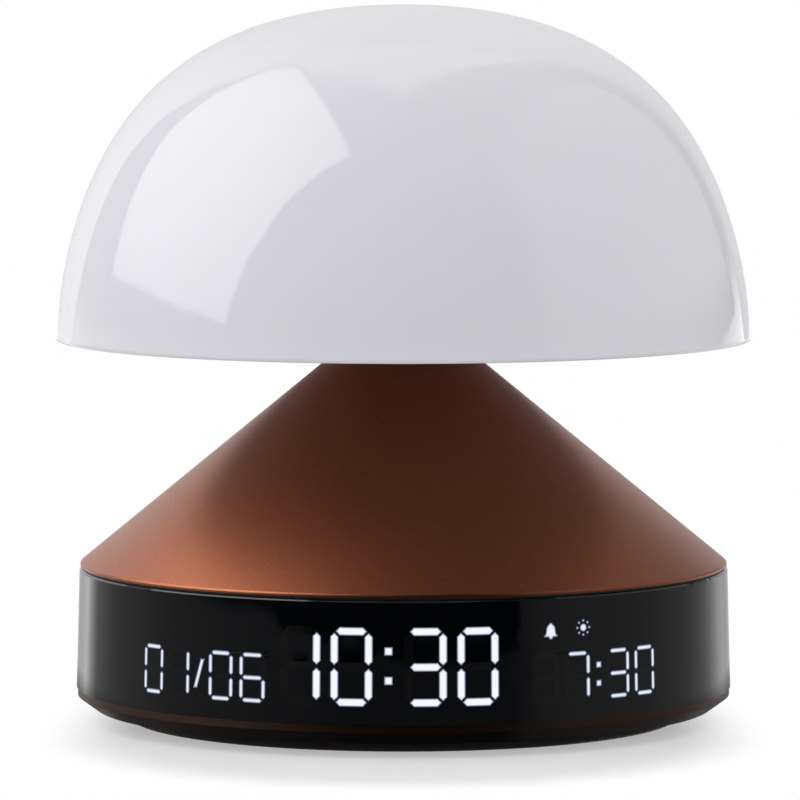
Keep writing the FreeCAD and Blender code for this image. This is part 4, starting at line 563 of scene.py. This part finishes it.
@dataclass
class Studio:
    """A pale table, a white surround, and the soft lights and dark cards of a product studio."""

    table_radius: float = 4.0
    table_colour: str = "#e4e4e6"
    table_light: str = "#e8e8ea"
    table_grain_mm: float = 3.0
    fade_middle: float = -0.030
    fade_side: float = 0.062
    fade_front: float = 0.066
    fade_back: float = 0.150
    fade_start: float = 0.72
    # Share of white glow that the camera sees on the table even beside the object: painted light that
    # lightens the object's shadow on it.
    lift: float = 0.46
    lift_level: float = 0.90
    ambient: float = 0.80
    wall_radius: float = 2.6
    strip_angle: float = 5.0
    band_radius: float = 0.056
    card_start: float = 0.0485
    card_rise: float = 0.0004
    card_rounds: int = 30
    table_grid: tuple[int, int] = (24, 96)
    curtain_grid: tuple[int, int] = (98, 46)
    curtain_reach: tuple[float, float] = (-2.0, 88.0)
    card_grid: tuple[int, int] = (90, 360)
    panels: tuple[Panel, ...] = (
        Panel("key_light", (-1.187, -0.023, 1.072), (0.034, -0.98, 0.023), (0.640, 0.027, 0.683),
              matt_level=1.15, gloss_level=3.3, soft=0.05, hollow=0.45, gains=(0.75, 1.0, 1.3)),
        Panel("fill_light", (1.2, 0.2, 1.65), (0.0, 1.40, 0.0), (0.0, 0.0, 1.55),
              matt_level=0.45, gloss_level=0.50, soft=0.10),
        Panel("back_light", (-0.27, 1.6, 1.085), (1.17, 0.0, 0.0), (0.0, 0.0, 1.185),
              matt_level=0.20, gloss_level=0.75, soft=0.03, gains=(1.7, 1.0, 0.95)),
    )

    CURTAIN_TURN: Numbers = (-141, -107, -57, -36, 40, 62, 112, 150)
    CURTAIN_GLOW: Numbers = (0.6, 0.25, 0.12, 0.0, 0.0, 0.06, 0.12, 0.30)
    CARD_TURN: Numbers = (
        -180, -164, -156, -150, -138, -122, -103, -87, -73, -60, -49, -37, -20, 38, 43, 50, 62, 74, 93,
        117, 132, 147, 154, 161, 180)
    CARD_GLOW: Numbers = (
        0.60, 0.68, 1.05, 1.55, 0.47, 0.335, 0.305, 0.235, 0.205, 0.19, 0.17, 0.14, 0.085, 0.075, 0.15,
        0.215, 0.24, 0.262, 0.27, 0.34, 0.53, 1.05, 0.95, 0.67, 0.60)
    BLACK_TURN: Numbers = (-80, -60, -48, -33, -8, 35, 41)
    BLACK_START: Numbers = (0.425, 0.432, 0.430, 0.345, 0.302, 0.302, 0.302)
    NEAR_RADIUS: Numbers = (0.0485, 0.070, 0.105)
    NEAR_SHARE: Numbers = (0.22, 0.25, 1.0)
    FAR_RADIUS: Numbers = (0.50, 0.62)
    FAR_TURN: Numbers = (-180, -165, -120, -88, -56, -35, -20, 40, 86, 123, 150, 180)
    FAR_GLOW: Numbers = (1.0, 1.3, 1.2, 0.9, 0.5, 0.1, 0.0, 0.0, 0.30, 1.3, 1.9, 1.0)

    def make(self) -> None:
        """Make the table, the surround, the lights and the cards."""
        self.make_surround()
        self.make_table()
        for panel in self.panels:
            panel.build(self)
        self.make_curtain()
        self.make_table_card()

    def make_surround(self) -> None:
        """Make the world white to the eye and to reflections, and a soft light to matt surfaces."""
        world = bpy.data.worlds.new("studio")
        bpy.context.scene.world = world
        world.use_nodes = True
        world.cycles.sampling_method = "NONE"
        tree = world.node_tree
        tree.nodes.clear()
        seen = self.seen_share(tree)
        strength = add_node(tree, "MapRange", {0: seen, 1: 0.0, 2: 1.0, 3: self.ambient, 4: 1.0})
        light = add_node(tree, "Background", {"Color": (1.0, 1.0, 1.0, 1.0),
                                                        "Strength": strength.outputs[0]})
        add_node(tree, "OutputWorld", {"Surface": light.outputs[0]})

    def seen_share(self, tree: Tree) -> Socket:
        """Give one for a ray from the camera, a mirror or glass, and nought for the rest."""
        path = add_node(tree, "LightPath")
        first = add_node(tree, "Math", {0: path.outputs["Is Camera Ray"],
                                                  1: path.outputs["Is Glossy Ray"]}, operation="MAXIMUM")
        return add_node(tree, "Math", {0: first.outputs[0],
                                                 1: path.outputs["Is Transmission Ray"]},
                        operation="MAXIMUM").outputs[0]

    def make_table(self) -> None:
        """Make the pale table: rings of growing radius, white where it runs into the surround."""
        rings, spokes = self.table_grid
        turn = np.linspace(0, 2 * np.pi, spokes, endpoint=False)[None, :]
        radius = np.concatenate([[0.0001], np.geomspace(0.02, self.table_radius, rings)])[:, None]
        points = np.stack([radius * np.cos(turn), radius * np.sin(turn), 0 * radius * turn], -1)
        table = make_mesh("table", points.reshape(-1, 3), grid_faces(rings + 1, spokes, closed=True))
        made = bpy.data.materials.new("table_painted_pale")
        made.use_nodes = True
        table.data.materials.append(made)
        tree = made.node_tree
        paint = tree.nodes["Principled BSDF"]
        place = add_node(tree, "TexCoord").outputs["Object"]
        grain = add_node(tree, "TexNoise", {
            "Vector": place, "Scale": MM_PER_M / self.table_grain_mm, "Detail": 4.0})
        tint = add_node(tree, "Mix", {
            0: grain.outputs[0], 6: linear(self.table_colour), 7: linear(self.table_light)}, data_type="RGBA")
        set_inputs(paint, {"Base Color": tint.outputs[2], "Roughness": 0.6, "Specular IOR Level": 0.3})
        centred = add_node(tree, "VectorMath", {0: place, 1: (0.0, -self.fade_middle, 0.0)})
        nearer, further = (add_node(tree, "VectorMath", {
            0: centred.outputs[0], 1: (1 / self.fade_side, 1 / reach, 0.0)}, operation="MULTIPLY")
            for reach in (-self.fade_front, self.fade_back))
        longer = add_node(tree, "VectorMath", {0: nearer.outputs[0], 1: further.outputs[0]},
                          operation="MAXIMUM")
        away = add_node(tree, "VectorMath", {0: longer.outputs[0]}, operation="LENGTH")
        faded = add_node(tree, "MapRange", {
            0: away.outputs["Value"], 1: self.fade_start, 2: 1.0, 3: 0.0, 4: 1.0},
            interpolation_type="SMOOTHSTEP")
        # Near the object the camera still sees the lift share of white glow over the paint: painted light
        # that lightens the object's shadow.
        lifted = add_node(tree, "MapRange", {0: faded.outputs[0], 3: self.lift, 4: 1.0})
        level = add_node(tree, "MapRange", {0: faded.outputs[0], 3: self.lift_level, 4: 1.0})
        share = add_node(tree, "Math", {0: lifted.outputs[0], 1: self.seen_share(tree)},
                         operation="MULTIPLY")
        white = add_node(tree, "Emission", {"Color": (1.0, 1.0, 1.0, 1.0),
                                                      "Strength": level.outputs[0]})
        both = add_node(tree, "MixShader", {0: share.outputs[0], 1: paint.outputs[0],
                                                      2: white.outputs[0]})
        tree.links.new(both.outputs[0], tree.nodes["Material Output"].inputs["Surface"])

    def light_up(self, piece: Piece) -> None:
        """Make a piece shine by the value stored on it, and make it part of the stage."""
        made = bpy.data.materials.new(piece.name + "_cloth")
        made.use_nodes = True
        tree = made.node_tree
        tree.nodes.clear()
        glow = add_node(tree, "Attribute", attribute_name="glow")
        light = add_node(tree, "Emission", {"Color": (1.0, 1.0, 1.0, 1.0),
                                                      "Strength": glow.outputs["Fac"]})
        add_node(tree, "OutputMaterial", {"Surface": light.outputs[0]})
        piece.data.materials.append(made)

    def show_to(self, piece: Piece, matt: bool, gloss: bool) -> None:
        """Let only matt or only glossy surfaces see a lit piece, which never throws a shadow."""
        piece.visible_camera = False
        piece.visible_transmission = False
        piece.visible_shadow = False
        piece.visible_diffuse = matt
        piece.visible_glossy = gloss

    def make_curtain(self) -> None:
        """Make the studio's dark curtain: a drum round the front and sides, domed over the top.

        A point is at a turn round the object and a height angle, on a sphere. It is darkest ahead, and
        its lowest strip is as bright as the far table.
        """
        columns, rows = self.curtain_grid
        turn, height = np.meshgrid(
            np.radians(np.linspace(self.CURTAIN_TURN[0], self.CURTAIN_TURN[-1], columns)),
            np.radians(np.linspace(*self.curtain_reach, rows)), indexing="ij")
        points = self.wall_radius * np.stack([
            np.sin(turn) * np.cos(height), -np.cos(turn) * np.cos(height), np.sin(height)], -1)
        curtain = make_mesh("curtain", points.reshape(-1, 3), grid_faces(columns, rows))
        high = np.interp(np.degrees(turn), self.CURTAIN_TURN, self.CURTAIN_GLOW)
        low = np.interp(np.degrees(turn), self.FAR_TURN, self.FAR_GLOW)
        share = np.clip(np.degrees(height) / self.strip_angle, 0, 1)
        store_value(curtain, "glow", (low + share * (high - low)).reshape(-1))
        self.light_up(curtain)
        self.show_to(curtain, matt=False, gloss=True)

    def make_table_card(self) -> None:
        """Make the dark card that gloss sees on the table, by turn from the front and distance.

        Its glow follows the direction in which the round band sends a level ray from the front to a point
        of the card: the point's own turn, plus the angle whose sine is the band's radius over the distance
        times the sine of half that direction. It is black far ahead of the object, and dim near its foot.
        """
        rings, spokes = self.card_grid
        turn, radius = np.meshgrid(np.radians(np.linspace(-180, 180, spokes, endpoint=False)),
                                   np.geomspace(self.card_start, self.wall_radius, rings), indexing="ij")
        way = turn
        for _ in range(self.card_rounds):
            way = turn + np.arcsin(np.minimum(self.band_radius / radius, 1.0) * np.sin(way / 2))
        degrees = np.degrees(way)
        # Dimmer near the foot: painted shade, standing in for the object's shadow on the table as glossy
        # surfaces see it.
        glow = (np.interp(degrees, self.CARD_TURN, self.CARD_GLOW, period=360)
                * np.interp(radius, self.NEAR_RADIUS, self.NEAR_SHARE))
        ahead = (degrees > self.BLACK_TURN[0]) & (degrees < self.BLACK_TURN[-1])
        black = ahead & (radius > np.interp(degrees, self.BLACK_TURN, self.BLACK_START))
        points = np.stack([radius * np.sin(turn), -radius * np.cos(turn), 0 * turn + self.card_rise], -1)
        card = make_mesh("table_card", points.transpose(1, 0, 2).reshape(-1, 3),
                         grid_faces(rings, spokes, closed=True))
        beyond = np.interp(degrees, self.FAR_TURN, self.FAR_GLOW, period=360)
        share = np.interp(radius, self.FAR_RADIUS, (0, 1))
        glow = np.where(black, 0.0, glow) * (1 - share) + beyond * share
        store_value(card, "glow", glow.T.reshape(-1))
        self.light_up(card)
        self.show_to(card, matt=False, gloss=True)


@dataclass
class StudioCamera:
    """The camera, level with the shade's rim, far away on a long lens, tipped a little down."""

    distance: float = 1.14427
    height: float = 0.14610
    tip_down: float = 0.07972
    lens: float = 300.43
    sensor: float = 36.0
    shift: float = -0.0044
    nearest: float = 0.01

    def make(self) -> None:
        """Place the camera and make it the scene's own."""
        data = bpy.data.cameras.new("camera")
        data.lens = self.lens
        data.sensor_width = self.sensor
        data.shift_x = self.shift
        data.clip_start = self.nearest
        camera = bpy.data.objects.new("camera", data)
        camera.location = (0.0, -self.distance, self.height)
        camera.rotation_euler = (math.pi / 2 - self.tip_down, 0.0, 0.0)
        bpy.context.scene.collection.objects.link(camera)
        bpy.context.scene.camera = camera


@dataclass(frozen=True)
class LitShape:
    """A grid of points on the band, and each point's distance from the shape's edge, in metres."""

    points: np.ndarray
    edge: np.ndarray
    closed: bool = False


@dataclass(frozen=True)
class BandFace:
    """The curved face of the display, which the lit faces and signs lie on. Sizes in millimetres."""

    low: float = 5.6
    high: float = 26.1
    low_radius: float = 56.3
    high_radius: float = 55.75
    proud: float = 0.02
    depth: float = 0.04

    def wrap(self, across: np.ndarray, level: np.ndarray, turn: float) -> np.ndarray:
        """Lay flat points on the band: each keeps its distance across, measured square to the front.

        Args:
            across: distance along the tangent at the sign's middle.
            level: height above the table.
            turn: angle of the sign's middle, from the front towards +X, in degrees.

        Returns:
            Points in metres, just proud of the band.
        """
        share = (level - self.low) / (self.high - self.low)
        radius = self.low_radius + share * (self.high_radius - self.low_radius) + self.proud
        ahead = np.sqrt(radius ** 2 - across ** 2)
        angle = math.radians(turn)
        x = across * math.cos(angle) + ahead * math.sin(angle)
        y = across * math.sin(angle) - ahead * math.cos(angle)
        return np.stack([x, y, level], -1) * MM

    def build(self, name: str, shapes: list[LitShape], finish: Finish) -> Piece:
        """Build shapes as one thin closed piece: poles merged, fronts outwards, a wall let into the band.

        Args:
            name: the piece's name.
            shapes: the shapes, which may overlap.
            finish: the finish that they all get.

        Returns:
            The new piece, riding on the base.
        """
        points = np.concatenate([s.points.reshape(-1, 3) for s in shapes])
        starts = np.cumsum([0] + [s.edge.size for s in shapes[:-1]])
        faces = np.concatenate([grid_faces(*s.edge.shape, closed=s.closed) + start
                                for s, start in zip(shapes, starts)])
        piece = make_mesh(name, points, turn_outwards(points, faces))
        store_value(piece, "edge", np.concatenate([s.edge.reshape(-1) for s in shapes]))
        work = bmesh.new()
        work.from_mesh(piece.data)
        bmesh.ops.remove_doubles(work, verts=work.verts, dist=0.001 * MM)
        work.to_mesh(piece.data)
        work.free()
        wall = piece.modifiers.new("wall", "SOLIDIFY")
        wall.thickness = self.depth * MM
        wall.offset = -1.0
        finish.dress(piece)
        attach(piece, "base")
        return piece


class Divider(Enum):
    """What stands between the two pairs of digits."""

    colon = "two square dots"
    slash = "a leaning bar"


@dataclass(frozen=True)
class DigitGroup:
    """Four seven-segment digits with a divider between them, as the light guides stand."""

    name: str
    text: str
    divider: Divider
    centre: float
    split: float
    pitch: float
    height: float
    width: float
    stroke: float
    dot: float
    finish: Finish
    base: float = 8.6
    gap: float = 0.2
    slash_lean: float = 0.15
    slash_foot: float = 0.22
    slash_head: float = 0.80
    colon_low: float = 0.33
    colon_high: float = 0.70

    LIT: ClassVar[dict[str, str]] = {
        "0": "abcdef", "1": "bc", "3": "abcdg", "6": "acdefg", "7": "abc", " ": ""}
    ENDS: ClassVar[dict[str, tuple]] = {
        "a": ((-1, 1), (1, 1)), "b": ((1, 0), (1, 1)), "c": ((1, -1), (1, 0)), "d": ((-1, -1), (1, -1)),
        "e": ((-1, -1), (-1, 0)), "f": ((-1, 0), (-1, 1)), "g": ((-1, 0), (1, 0))}
    NEAR_END: Numbers = (0.0, 0.12, 0.3, 0.55, 0.8, 1.0)
    ACROSS: Numbers = (-1.0, -0.88, -0.65, -0.35, 0.0, 0.35, 0.65, 0.88, 1.0)
    POINT_SLOPE: ClassVar[float] = 0.7071

    def angles(self) -> list[float]:
        """Give the turn of each digit's middle, in degrees."""
        inner, outer = self.split / 2, self.split / 2 + self.pitch
        return [self.centre - outer, self.centre - inner, self.centre + inner, self.centre + outer]

    def bar(self, band: BandFace, start: np.ndarray, end: np.ndarray, stroke: float, pointed: bool,
            turn: float) -> LitShape:
        """Work out one lit bar on a grid along and across it.

        A point is at the middle line plus its share across times the half width there; at a pointed end
        that half width shrinks evenly to nothing over half a stroke.

        Args:
            band: the face that the bar lies on.
            start: one end of the middle line, across and up.
            end: the other end.
            stroke: the bar's whole width.
            pointed: whether the ends are pointed.
            turn: angle of the digit's middle, in degrees.

        Returns:
            The bar.
        """
        length = float(np.linalg.norm(end - start))
        way = (end - start) / length
        side = np.array([way[1], -way[0]])
        half = stroke / 2
        near = np.array(self.NEAR_END) * half
        between = near[-1] + (length - 2 * near[-1]) * np.linspace(0, 1, 8)[1:-1]
        along = np.concatenate([near, between, length - near[::-1]])
        across = np.array(self.ACROSS)
        reach = np.minimum(along, length - along)
        wide = np.minimum(reach, half) if pointed else np.full_like(along, half)
        flat = start + along[:, None, None] * way + across[None, :, None] * wide[:, None, None] * side
        edge = wide[:, None] * (1 - np.abs(across))[None, :]
        if pointed:
            edge = edge * np.where(reach < half, self.POINT_SLOPE, 1.0)[:, None]
        else:
            edge = np.minimum(edge, reach[:, None])
        return LitShape(band.wrap(flat[..., 0], flat[..., 1], turn), edge * MM)

    def divide(self, band: BandFace) -> list[LitShape]:
        """Work out the divider: a leaning slash, or a colon of two square dots."""
        if self.divider is Divider.slash:
            lean = self.width * self.slash_lean
            foot = np.array([-lean, self.base + self.height * self.slash_foot])
            head = np.array([lean, self.base + self.height * self.slash_head])
            return [self.bar(band, foot, head, self.stroke, False, self.centre)]
        half = np.array([0.0, self.dot / 2])
        dots = [np.array([0.0, self.base + self.height * s]) for s in (self.colon_low, self.colon_high)]
        return [self.bar(band, dot - half, dot + half, self.dot, False, self.centre) for dot in dots]

    def build(self, band: BandFace) -> Piece:
        """Build the group's lit faces as one piece."""
        wide, tall = (self.width - self.stroke) / 2, (self.height - self.stroke) / 2
        middle = np.array([0.0, self.base + self.height / 2])
        size = np.array([wide, tall])
        bars = self.divide(band)
        for sign, turn in zip(self.text, self.angles()):
            for letter in self.LIT[sign]:
                start, end = (middle + size * np.array(place) for place in self.ENDS[letter])
                inset = self.gap * (end - start) / np.linalg.norm(end - start)
                bars.append(self.bar(band, start + inset, end - inset, self.stroke, True, turn))
        return band.build(self.name, bars, self.finish)


@dataclass(frozen=True)
class StatusSigns:
    """The small lit signs above the alarm time: a bell and a sun, as flat shapes on the band."""

    bell_turn: float = 25.75
    bell_low: float = 19.52
    bell_height: float = 2.38
    clapper_radius: float = 0.42
    sun_turn: float = 32.1
    sun_level: float = 20.75
    sun_radius: float = 0.66
    ray_ring: float = 1.18
    ray_radius: float = 0.24
    rays: int = 8

    BELL_UP: Numbers = (
        0.0, 0.06, 0.14, 0.20, 0.30, 0.45, 0.62, 0.76, 0.86, 0.93, 0.97, 1.0)
    BELL_HALF: Numbers = (
        1.22, 1.30, 1.16, 1.00, 0.92, 0.88, 0.82, 0.68, 0.44, 0.24, 0.17, 0.02)

    def disc(self, band: BandFace, across: float, level: float, radius: float, turn: float) -> LitShape:
        """Work out a disc: distance from its middle by turn round it, on a grid of rings.

        Args:
            band: the face that the disc lies on.
            across: the disc's middle, across.
            level: the disc's middle, above the table.
            radius: the disc's radius.
            turn: angle of the sign's middle, in degrees.

        Returns:
            The disc.
        """
        share, angle = np.meshgrid([0.0, 0.4, 0.7, 0.88, 1.0], np.linspace(0, 2 * np.pi, 24, endpoint=False),
                                   indexing="ij")
        flat_x = across + radius * share * np.cos(angle)
        flat_z = level + radius * share * np.sin(angle)
        return LitShape(band.wrap(flat_x, flat_z, turn), radius * (1 - share) * MM, closed=True)

    def bell(self, band: BandFace) -> LitShape:
        """Work out the bell: at each height its half width follows clapper, flared lip, waist and crown.

        The clapper's half width is its radius times the cosine of the angle from its middle. A point's
        distance from the edge is measured to the nearest stretch of the whole outline.
        """
        drop = np.radians(np.linspace(90, 4, 7))
        level = np.concatenate([self.bell_low - self.clapper_radius * np.sin(drop),
                                self.bell_low + np.array(self.BELL_UP) * self.bell_height])
        half = np.concatenate([self.clapper_radius * np.cos(drop), self.BELL_HALF])
        share = np.array([-1.0, -0.85, -0.6, -0.3, 0.0, 0.3, 0.6, 0.85, 1.0])
        flat = np.stack([half[:, None] * share[None, :], level[:, None] + 0 * share[None, :]], -1)
        outline = np.concatenate([flat[:, 0], flat[::-1, -1]])
        first, step = outline, np.roll(outline, -1, axis=0) - outline
        gap = flat[:, :, None, :] - first
        along = np.clip((gap * step).sum(-1) / np.maximum((step * step).sum(-1), 1e-12), 0, 1)
        edge = np.linalg.norm(gap - along[..., None] * step, axis=-1).min(-1)
        return LitShape(band.wrap(flat[..., 0], flat[..., 1], self.bell_turn), edge * MM)

    def build(self, band: BandFace) -> Piece:
        """Build both signs as one piece."""
        shapes = [self.bell(band), self.disc(band, 0.0, self.sun_level, self.sun_radius, self.sun_turn)]
        for number in range(self.rays):
            angle = 2 * math.pi * number / self.rays
            shapes.append(self.disc(band, self.ray_ring * math.cos(angle),
                                    self.sun_level + self.ray_ring * math.sin(angle), self.ray_radius,
                                    self.sun_turn))
        return band.build("status_signs", shapes, Finishes.lit_small_face.value)


@dataclass
class SubAssembly:
    """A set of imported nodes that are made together, each with the finish of its slot."""

    nodes: dict[str, Piece]
    slots: dict[str, str]

    MEMBERS: Names = ()

    def build(self) -> list[Piece]:
        """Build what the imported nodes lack, which is nothing for most."""
        return []

    def finish_of(self, name: str) -> Finish:
        """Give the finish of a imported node, by its slot."""
        return Finishes[self.slots[name]].value

    def make(self) -> None:
        """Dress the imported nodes, build the rest, and report every piece."""
        for name in self.MEMBERS:
            finish = self.finish_of(name)
            finish.dress(self.nodes[name])
            log.info("%s: %s: %s", type(self).__name__, name, finish.name)
        for piece in self.build():
            log.info("%s: %s: %d faces", type(self).__name__, piece.name, len(piece.data.polygons))


@dataclass
class ShadeHead(SubAssembly):
    """The opal shade with its floor and lamps, which presses down as one."""

    MEMBERS: Names = (
        "shade", "shade_floor", "shade_hub", "hub_screws", "hub_clip", "lamp_board", "lamps",
        "lamp_board_screws")


@dataclass
class SprungNeck(SubAssembly):
    """The neck that carries the shade on its spring, over the snooze switch."""

    MEMBERS: Names = (
        "neck_bush", "neck_nut", "neck_tower", "tower_screws", "shade_spring", "snooze_board",
        "snooze_switch")


@dataclass
class CopperCone(SubAssembly):
    """The spun copper cone between the band and the shade."""

    MEMBERS: Names = ("cone_shell",)


@dataclass
class DisplayBand(SubAssembly):
    """The gloss black band with its light guides behind it, and the lit faces that show through it."""

    face: BandFace = field(default_factory=BandFace)
    signs: StatusSigns = field(default_factory=StatusSigns)
    groups: tuple[DigitGroup, ...] = (
        DigitGroup("time_lit_faces", "1030", Divider.colon, centre=-2.53, split=12.55, pitch=8.9, height=13.1,
                   width=7.1, stroke=1.4, dot=1.4, finish=Finishes.lit_face.value),
        DigitGroup("date_lit_faces", "0106", Divider.slash, centre=-37.2, split=9.1, pitch=6.2, height=8.3,
                   width=4.9, stroke=0.78, dot=0.78, finish=Finishes.lit_small_face.value),
        DigitGroup("alarm_lit_faces", " 730", Divider.colon, centre=35.2, split=8.6, pitch=6.2, height=8.3,
                   width=4.9, stroke=0.78, dot=1.05, finish=Finishes.lit_small_face.value),
    )

    MEMBERS: Names = (
        "display_band", "time_light_guides", "date_light_guides", "alarm_light_guides",
        "unlit_light_guides", "segment_mask", "display_board", "segment_lamps", "band_gasket")

    def build(self) -> list[Piece]:
        """Build the lit faces of the digits, and the signs."""
        return [group.build(self.face) for group in self.groups] + [self.signs.build(self.face)]


@dataclass
class RearControls(SubAssembly):
    """The rear panel with its five buttons, the switches behind them and the power inlet."""

    MEMBERS: Names = (
        "rear_panel", "button_alarm", "button_minus", "button_set", "button_plus", "button_light",
        "rear_board", "rear_board_screws", "button_switches", "usb_socket")


@dataclass
class Electronics(SubAssembly):
    """The chassis with the main board and the backup cell."""

    MEMBERS: Names = (
        "chassis", "main_board", "main_board_screws", "board_components", "cell_holder", "backup_cell")


@dataclass
class Speaker(SubAssembly):
    """The small loudspeaker that fires down through the tray's grille."""

    MEMBERS: Names = (
        "speaker_gasket", "speaker_basket", "speaker_magnet", "speaker_cone")


@dataclass
class Base(SubAssembly):
    """The spun tray, in a darker copy of the cone's copper that is painted shade, with its rubber foot."""

    MEMBERS: Names = ("base_tray", "foot_ring", "base_screws")

    def finish_of(self, name: str) -> Finish:
        """Give the tray the darker copy of the cone's copper, which is painted shade, and the rest the finish
        of their slots.
        """
        return Finishes.bronze_metal.value if name == "base_tray" else super().finish_of(name)


def find_slots(nodes: dict[str, Piece]) -> dict[str, str]:
    """Read which material slot each node takes its finish from: its packed material has that name.

    Args:
        nodes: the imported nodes, not dressed yet.

    Returns:
        The slot's name for each node.
    """
    return {name: node.material_slots[0].material.name.split(".")[0] for name, node in nodes.items()}


def main() -> None:
    """Build the scene in order: camera, studio, then the clock's sub-assemblies from the top down."""
    logging.basicConfig(level=logging.INFO, format="%(name)s: %(message)s")
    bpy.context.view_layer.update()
    StudioCamera().make()
    Studio().make()
    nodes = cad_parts
    slots = find_slots(nodes)
    for part in (ShadeHead, SprungNeck, CopperCone, DisplayBand, RearControls, Electronics, Speaker, Base):
        part(nodes, slots).make()
    bpy.context.scene.view_settings.view_transform = "Standard"


if __name__ == "__main__":
    main()
